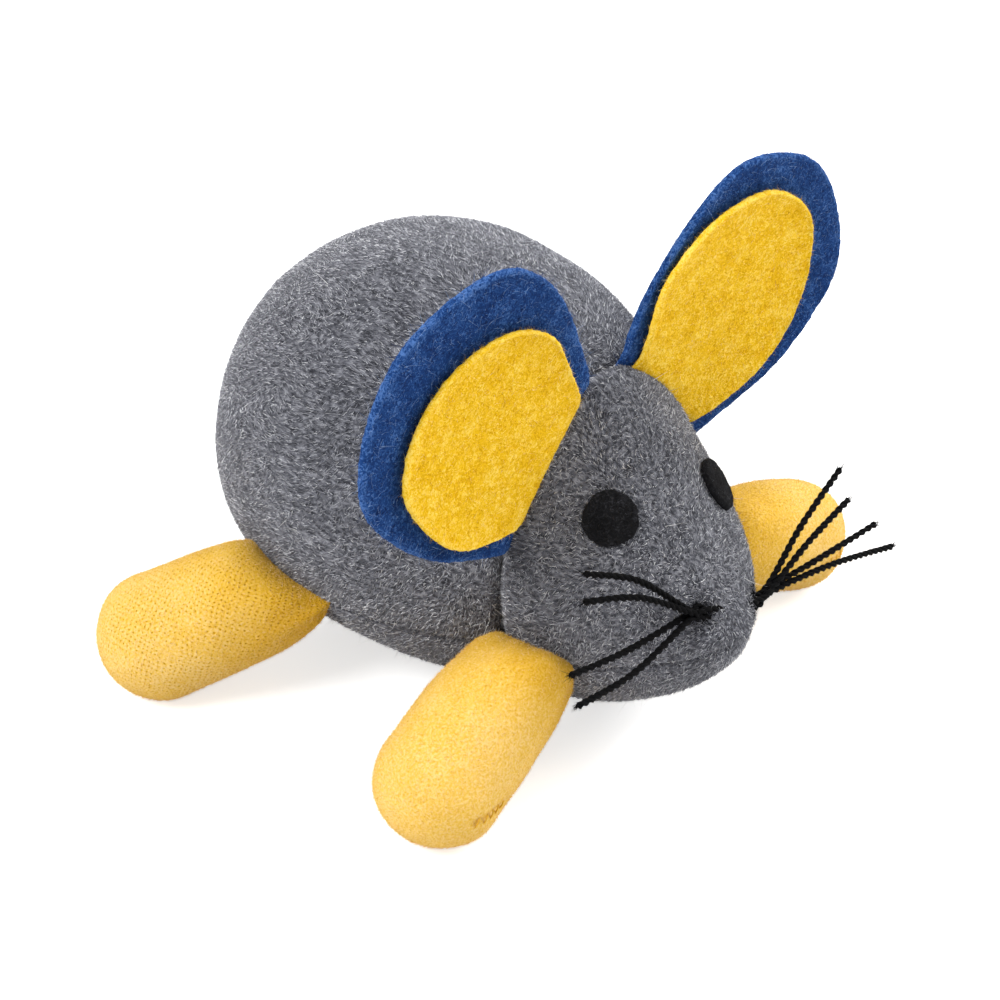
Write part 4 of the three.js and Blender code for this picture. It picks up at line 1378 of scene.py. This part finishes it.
def tube(line, radii, sides, twist=0.0, offset=0.0):
    """Rings of a tube along a line, and with an offset a ply that winds round it."""
    ways = unit(np.gradient(line, axis=0))
    side = unit(np.cross(ways[0], (0, 0, 1)))
    rings = []
    travelled = 0.0
    for i, (point, way) in enumerate(zip(line, ways)):
        side = unit(side - way * side.dot(way))
        other = np.cross(way, side)
        if i:
            travelled += np.linalg.norm(point - line[i - 1])
        turn = twist + 2 * math.pi * travelled / thread_pitch
        centre = point + (side * math.cos(turn) + other * math.sin(turn)) * offset
        angle = np.linspace(0, 2 * math.pi, sides, endpoint=False)
        ring = side * np.cos(angle)[:, None] + other * np.sin(angle)[:, None]
        rings.append(centre + ring * radii[i])
    return np.array(rings)


def tube_mesh(rings, start):
    """Points and faces of a closed tube, with its ends drawn to a point."""
    count, sides = rings.shape[:2]
    points = [*rings.reshape(-1, 3), rings[0].mean(0), rings[-1].mean(0)]
    faces = []
    for i in range(count - 1):
        for j in range(sides):
            k = (j + 1) % sides
            faces.append((i * sides + j, i * sides + k, (i + 1) * sides + k, (i + 1) * sides + j))
    for j in range(sides):
        k = (j + 1) % sides
        faces.append((count * sides, k, j))
        faces.append((count * sides + 1, (count - 1) * sides + j, (count - 1) * sides + k))
    return points, [tuple(start + corner for corner in face) for face in faces]


def twisted_thread(name, line, seed):
    """Two plies that wind round each other, with frayed ends."""
    points, faces = [], []
    count = len(line)
    swell = 1 + 0.12 * wavy(line, 2.5 * mm, seed)
    ends = np.minimum(np.arange(count), np.arange(count)[::-1]) / 4
    radii = thread_radius * ply_radius_share * swell * np.clip(0.6 + ends, 0.6, 1)
    offset = thread_radius * ply_offset_share
    for ply in range(2):
        made = tube_mesh(tube(line, radii, 8, ply * math.pi, offset), len(points))
        points += made[0]
        faces += made[1]
    generator = np.random.default_rng(seed)
    for tip, before in ((line[0], line[3]), (line[-1], line[-4])):
        way = unit(tip - before)
        for _ in range(frayed_hairs):
            spread = unit(way + generator.normal(0, 0.3, 3))
            start = tip - way * generator.uniform(0.2, 1.1) * mm + generator.normal(0, 0.16, 3) * mm
            length = generator.uniform(*frayed_lengths)
            steps = np.linspace(0, 1, 4)[:, None]
            droop = generator.normal(0, 0.25, 3) * mm
            hair = start + spread * steps * length + droop * steps**2
            taper = frayed_radius * np.array([1, 0.9, 0.7, 0.3])
            made = tube_mesh(tube(hair, taper, 3), len(points))
            points += made[0]
            faces += made[1]
    made = mesh_object(name, points, faces, thread)
    weld(made, 1e-9)
    return made


thread_fuzz = felt_fuzz | {
    "density": 4e6,
    "length": 0.4 * mm,
    "width": 0.04 * mm,
    "lift_low": 0.2,
    "lift_high": 1.5,
    "material": thread_fibre,
}


def build_whiskers():
    for index in range(len(whisker_seat_shares)):
        line = through(whisker_route(index), 260)
        name = f"whisker_thread_{index + 1}"
        whisker = twisted_thread(f"{name}_twisted", line, 100 + index)
        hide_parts(name)
        grown(f"{name}_fuzz", whisker, "root", "black_waxed_thread", seed=110 + index, **thread_fuzz)
        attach(whisker, "root")


# Filling and sachet


def soft_copy(node_name, name, merge=1e-6):
    """A copy of a plain solid with no material, to be made soft."""
    piece = linked(name, frame["nodes"][node_name].data.copy())
    piece.data.materials.clear()
    weld(piece, merge)
    return piece


def softened(name, node_name, body, material, voxel, rounds, lumps, seed):
    """A soft inner piece in the place of its plain solid, rounded and a little lumpy."""
    piece = soft_copy(node_name, name)
    remesh = piece.modifiers.new("remesh", "REMESH")
    remesh.mode = "VOXEL"
    remesh.voxel_size = voxel
    smooth = piece.modifiers.new("smooth", "SMOOTH")
    smooth.iterations = rounds
    made_plain(piece)
    points = np.array([vertex.co for vertex in piece.data.vertices])
    normals = np.array([vertex.normal for vertex in piece.data.vertices])
    points -= normals * (lumps * (1 + wavy(points, 6 * voxel, seed)) / 2)[:, None]
    piece.data.vertices.foreach_set("co", points.astype(np.float32).ravel())
    piece.data.materials.append(material)
    piece.data.shade_smooth()
    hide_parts(node_name)
    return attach(piece, body)


def build_filling():
    body_filling_lumps = 0.6 * mm
    wads = {"body_filling_upper": "root", "body_filling_lower": "root", "head_filling": "root"}
    wads |= {f"{name}_leg_filling": f"{name}_leg" for name in leg_table}
    for seed, (node_name, body) in enumerate(wads.items()):
        lumps = body_filling_lumps if body == "root" else leg_filling_shrink
        softened(
            f"{node_name}_fibre", node_name, body, fibrefill, 0.9 * mm, 6,
            lumps, 120 + seed,
        )
    softened(
        "catnip_leaf_clump", "catnip_leaf", "root", catnip, 0.5 * mm, 3, 0.4 * mm,
        130,
    )
    for word in ("upper", "lower"):
        name = f"sachet_sheet_{word}"
        softened_sheet(f"{name}_nonwoven", name)


def softened_sheet(name, node_name):
    """One sheet of the sachet, its faces smoothed."""
    piece = soft_copy(node_name, name, 1e-5)
    finer = piece.modifiers.new("finer", "SUBSURF")
    finer.subdivision_type = "SIMPLE"
    finer.levels = finer.render_levels = 2
    made_plain(piece)
    piece.data.materials.append(nonwoven)
    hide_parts(node_name)
    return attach(piece, "root")


# Camera, light and floor

view_azimuth = math.radians(46.66)
view_elevation = math.radians(36.31)
view_distance = 480 * mm
view_lens = 100.2
view_shift = (0.0587, -0.0547)
lamps = (
    ("key lamp", (-0.73, 0.2, 0.92), 0.6, 12),
    ("rim lamp", (0.9, 0.35, 0.7), 0.7, 7),
    ("fill lamp", (0.75, -0.55, 0.8), 0.7, 10),
)
lamp_aim = Vector((0, 0, 0.03))
world_strength = 0.55
floor_half_width = 3.0
floor_drop = 0.05 * mm
floor_glow = 0.65


def build_camera():
    level = math.cos(view_elevation)
    rise = math.sin(view_elevation)
    back = Vector((-math.sin(view_azimuth) * level, -math.cos(view_azimuth) * level, rise))
    data = bpy.data.cameras.new("camera")
    camera = linked("camera", data)
    camera.location = Vector((0, widest_y, middle_height)) + back * view_distance
    camera.rotation_euler = (-back).to_track_quat("-Z", "Y").to_euler()
    data.sensor_width = 36
    data.lens = view_lens
    data.shift_x, data.shift_y = view_shift
    data.clip_start, data.clip_end = 0.01, 20
    bpy.context.scene.camera = camera


def lamp(name, place_at, size, power):
    """A round soft box of white light that faces the toy."""
    data = bpy.data.lights.new(name, "AREA")
    data.shape = "DISK"
    data.size = size
    data.energy = power
    made = linked(name, data)
    made.location = place_at
    made.rotation_euler = (Vector(place_at) - lamp_aim).to_track_quat("Z", "Y").to_euler()


def build_light():
    for name, place_at, size, power in lamps:
        lamp(name, place_at, size, power)
    world = bpy.data.worlds.new("studio")
    bpy.context.scene.world = world
    world.use_nodes = True
    tree = world.node_tree
    background = tree.nodes["Background"]
    seen = node(tree, "ShaderNodeLightPath")
    direct = maths(tree, "MAXIMUM", seen.outputs["Is Camera Ray"], seen.outputs["Is Glossy Ray"])
    background.inputs["Color"].default_value = linear("#ffffff")
    tree.links.new(mapped(tree, direct, to_min=world_strength, to_max=1.0), background.inputs["Strength"])


def build_floor():
    """A plain pale floor that shows white where no shadow falls."""
    half = floor_half_width
    corners = [(-half, -half, 0), (half, -half, 0), (half, half, 0), (-half, half, 0)]
    floor = mesh_object("floor", corners, [(0, 1, 2, 3)])
    material, tree, shader = surface("matt white floor", 0.9, 0.5)
    shader.inputs["Base Color"].default_value = linear("#e6e6e6")
    shader.inputs["Emission Color"].default_value = linear("#ffffff")
    seen = node(tree, "ShaderNodeLightPath")
    glow = maths(tree, "MULTIPLY", seen.outputs["Is Camera Ray"], floor_glow)
    tree.links.new(glow, shader.inputs["Emission Strength"])
    floor.data.materials.append(material)
    floor.location.z = -floor_drop


build_camera()
build_plush()
build_legs()
build_ears()
build_eyes()
build_whiskers()
build_filling()
build_light()
build_floor()

bpy.context.scene.view_settings.view_transform = "Standard"
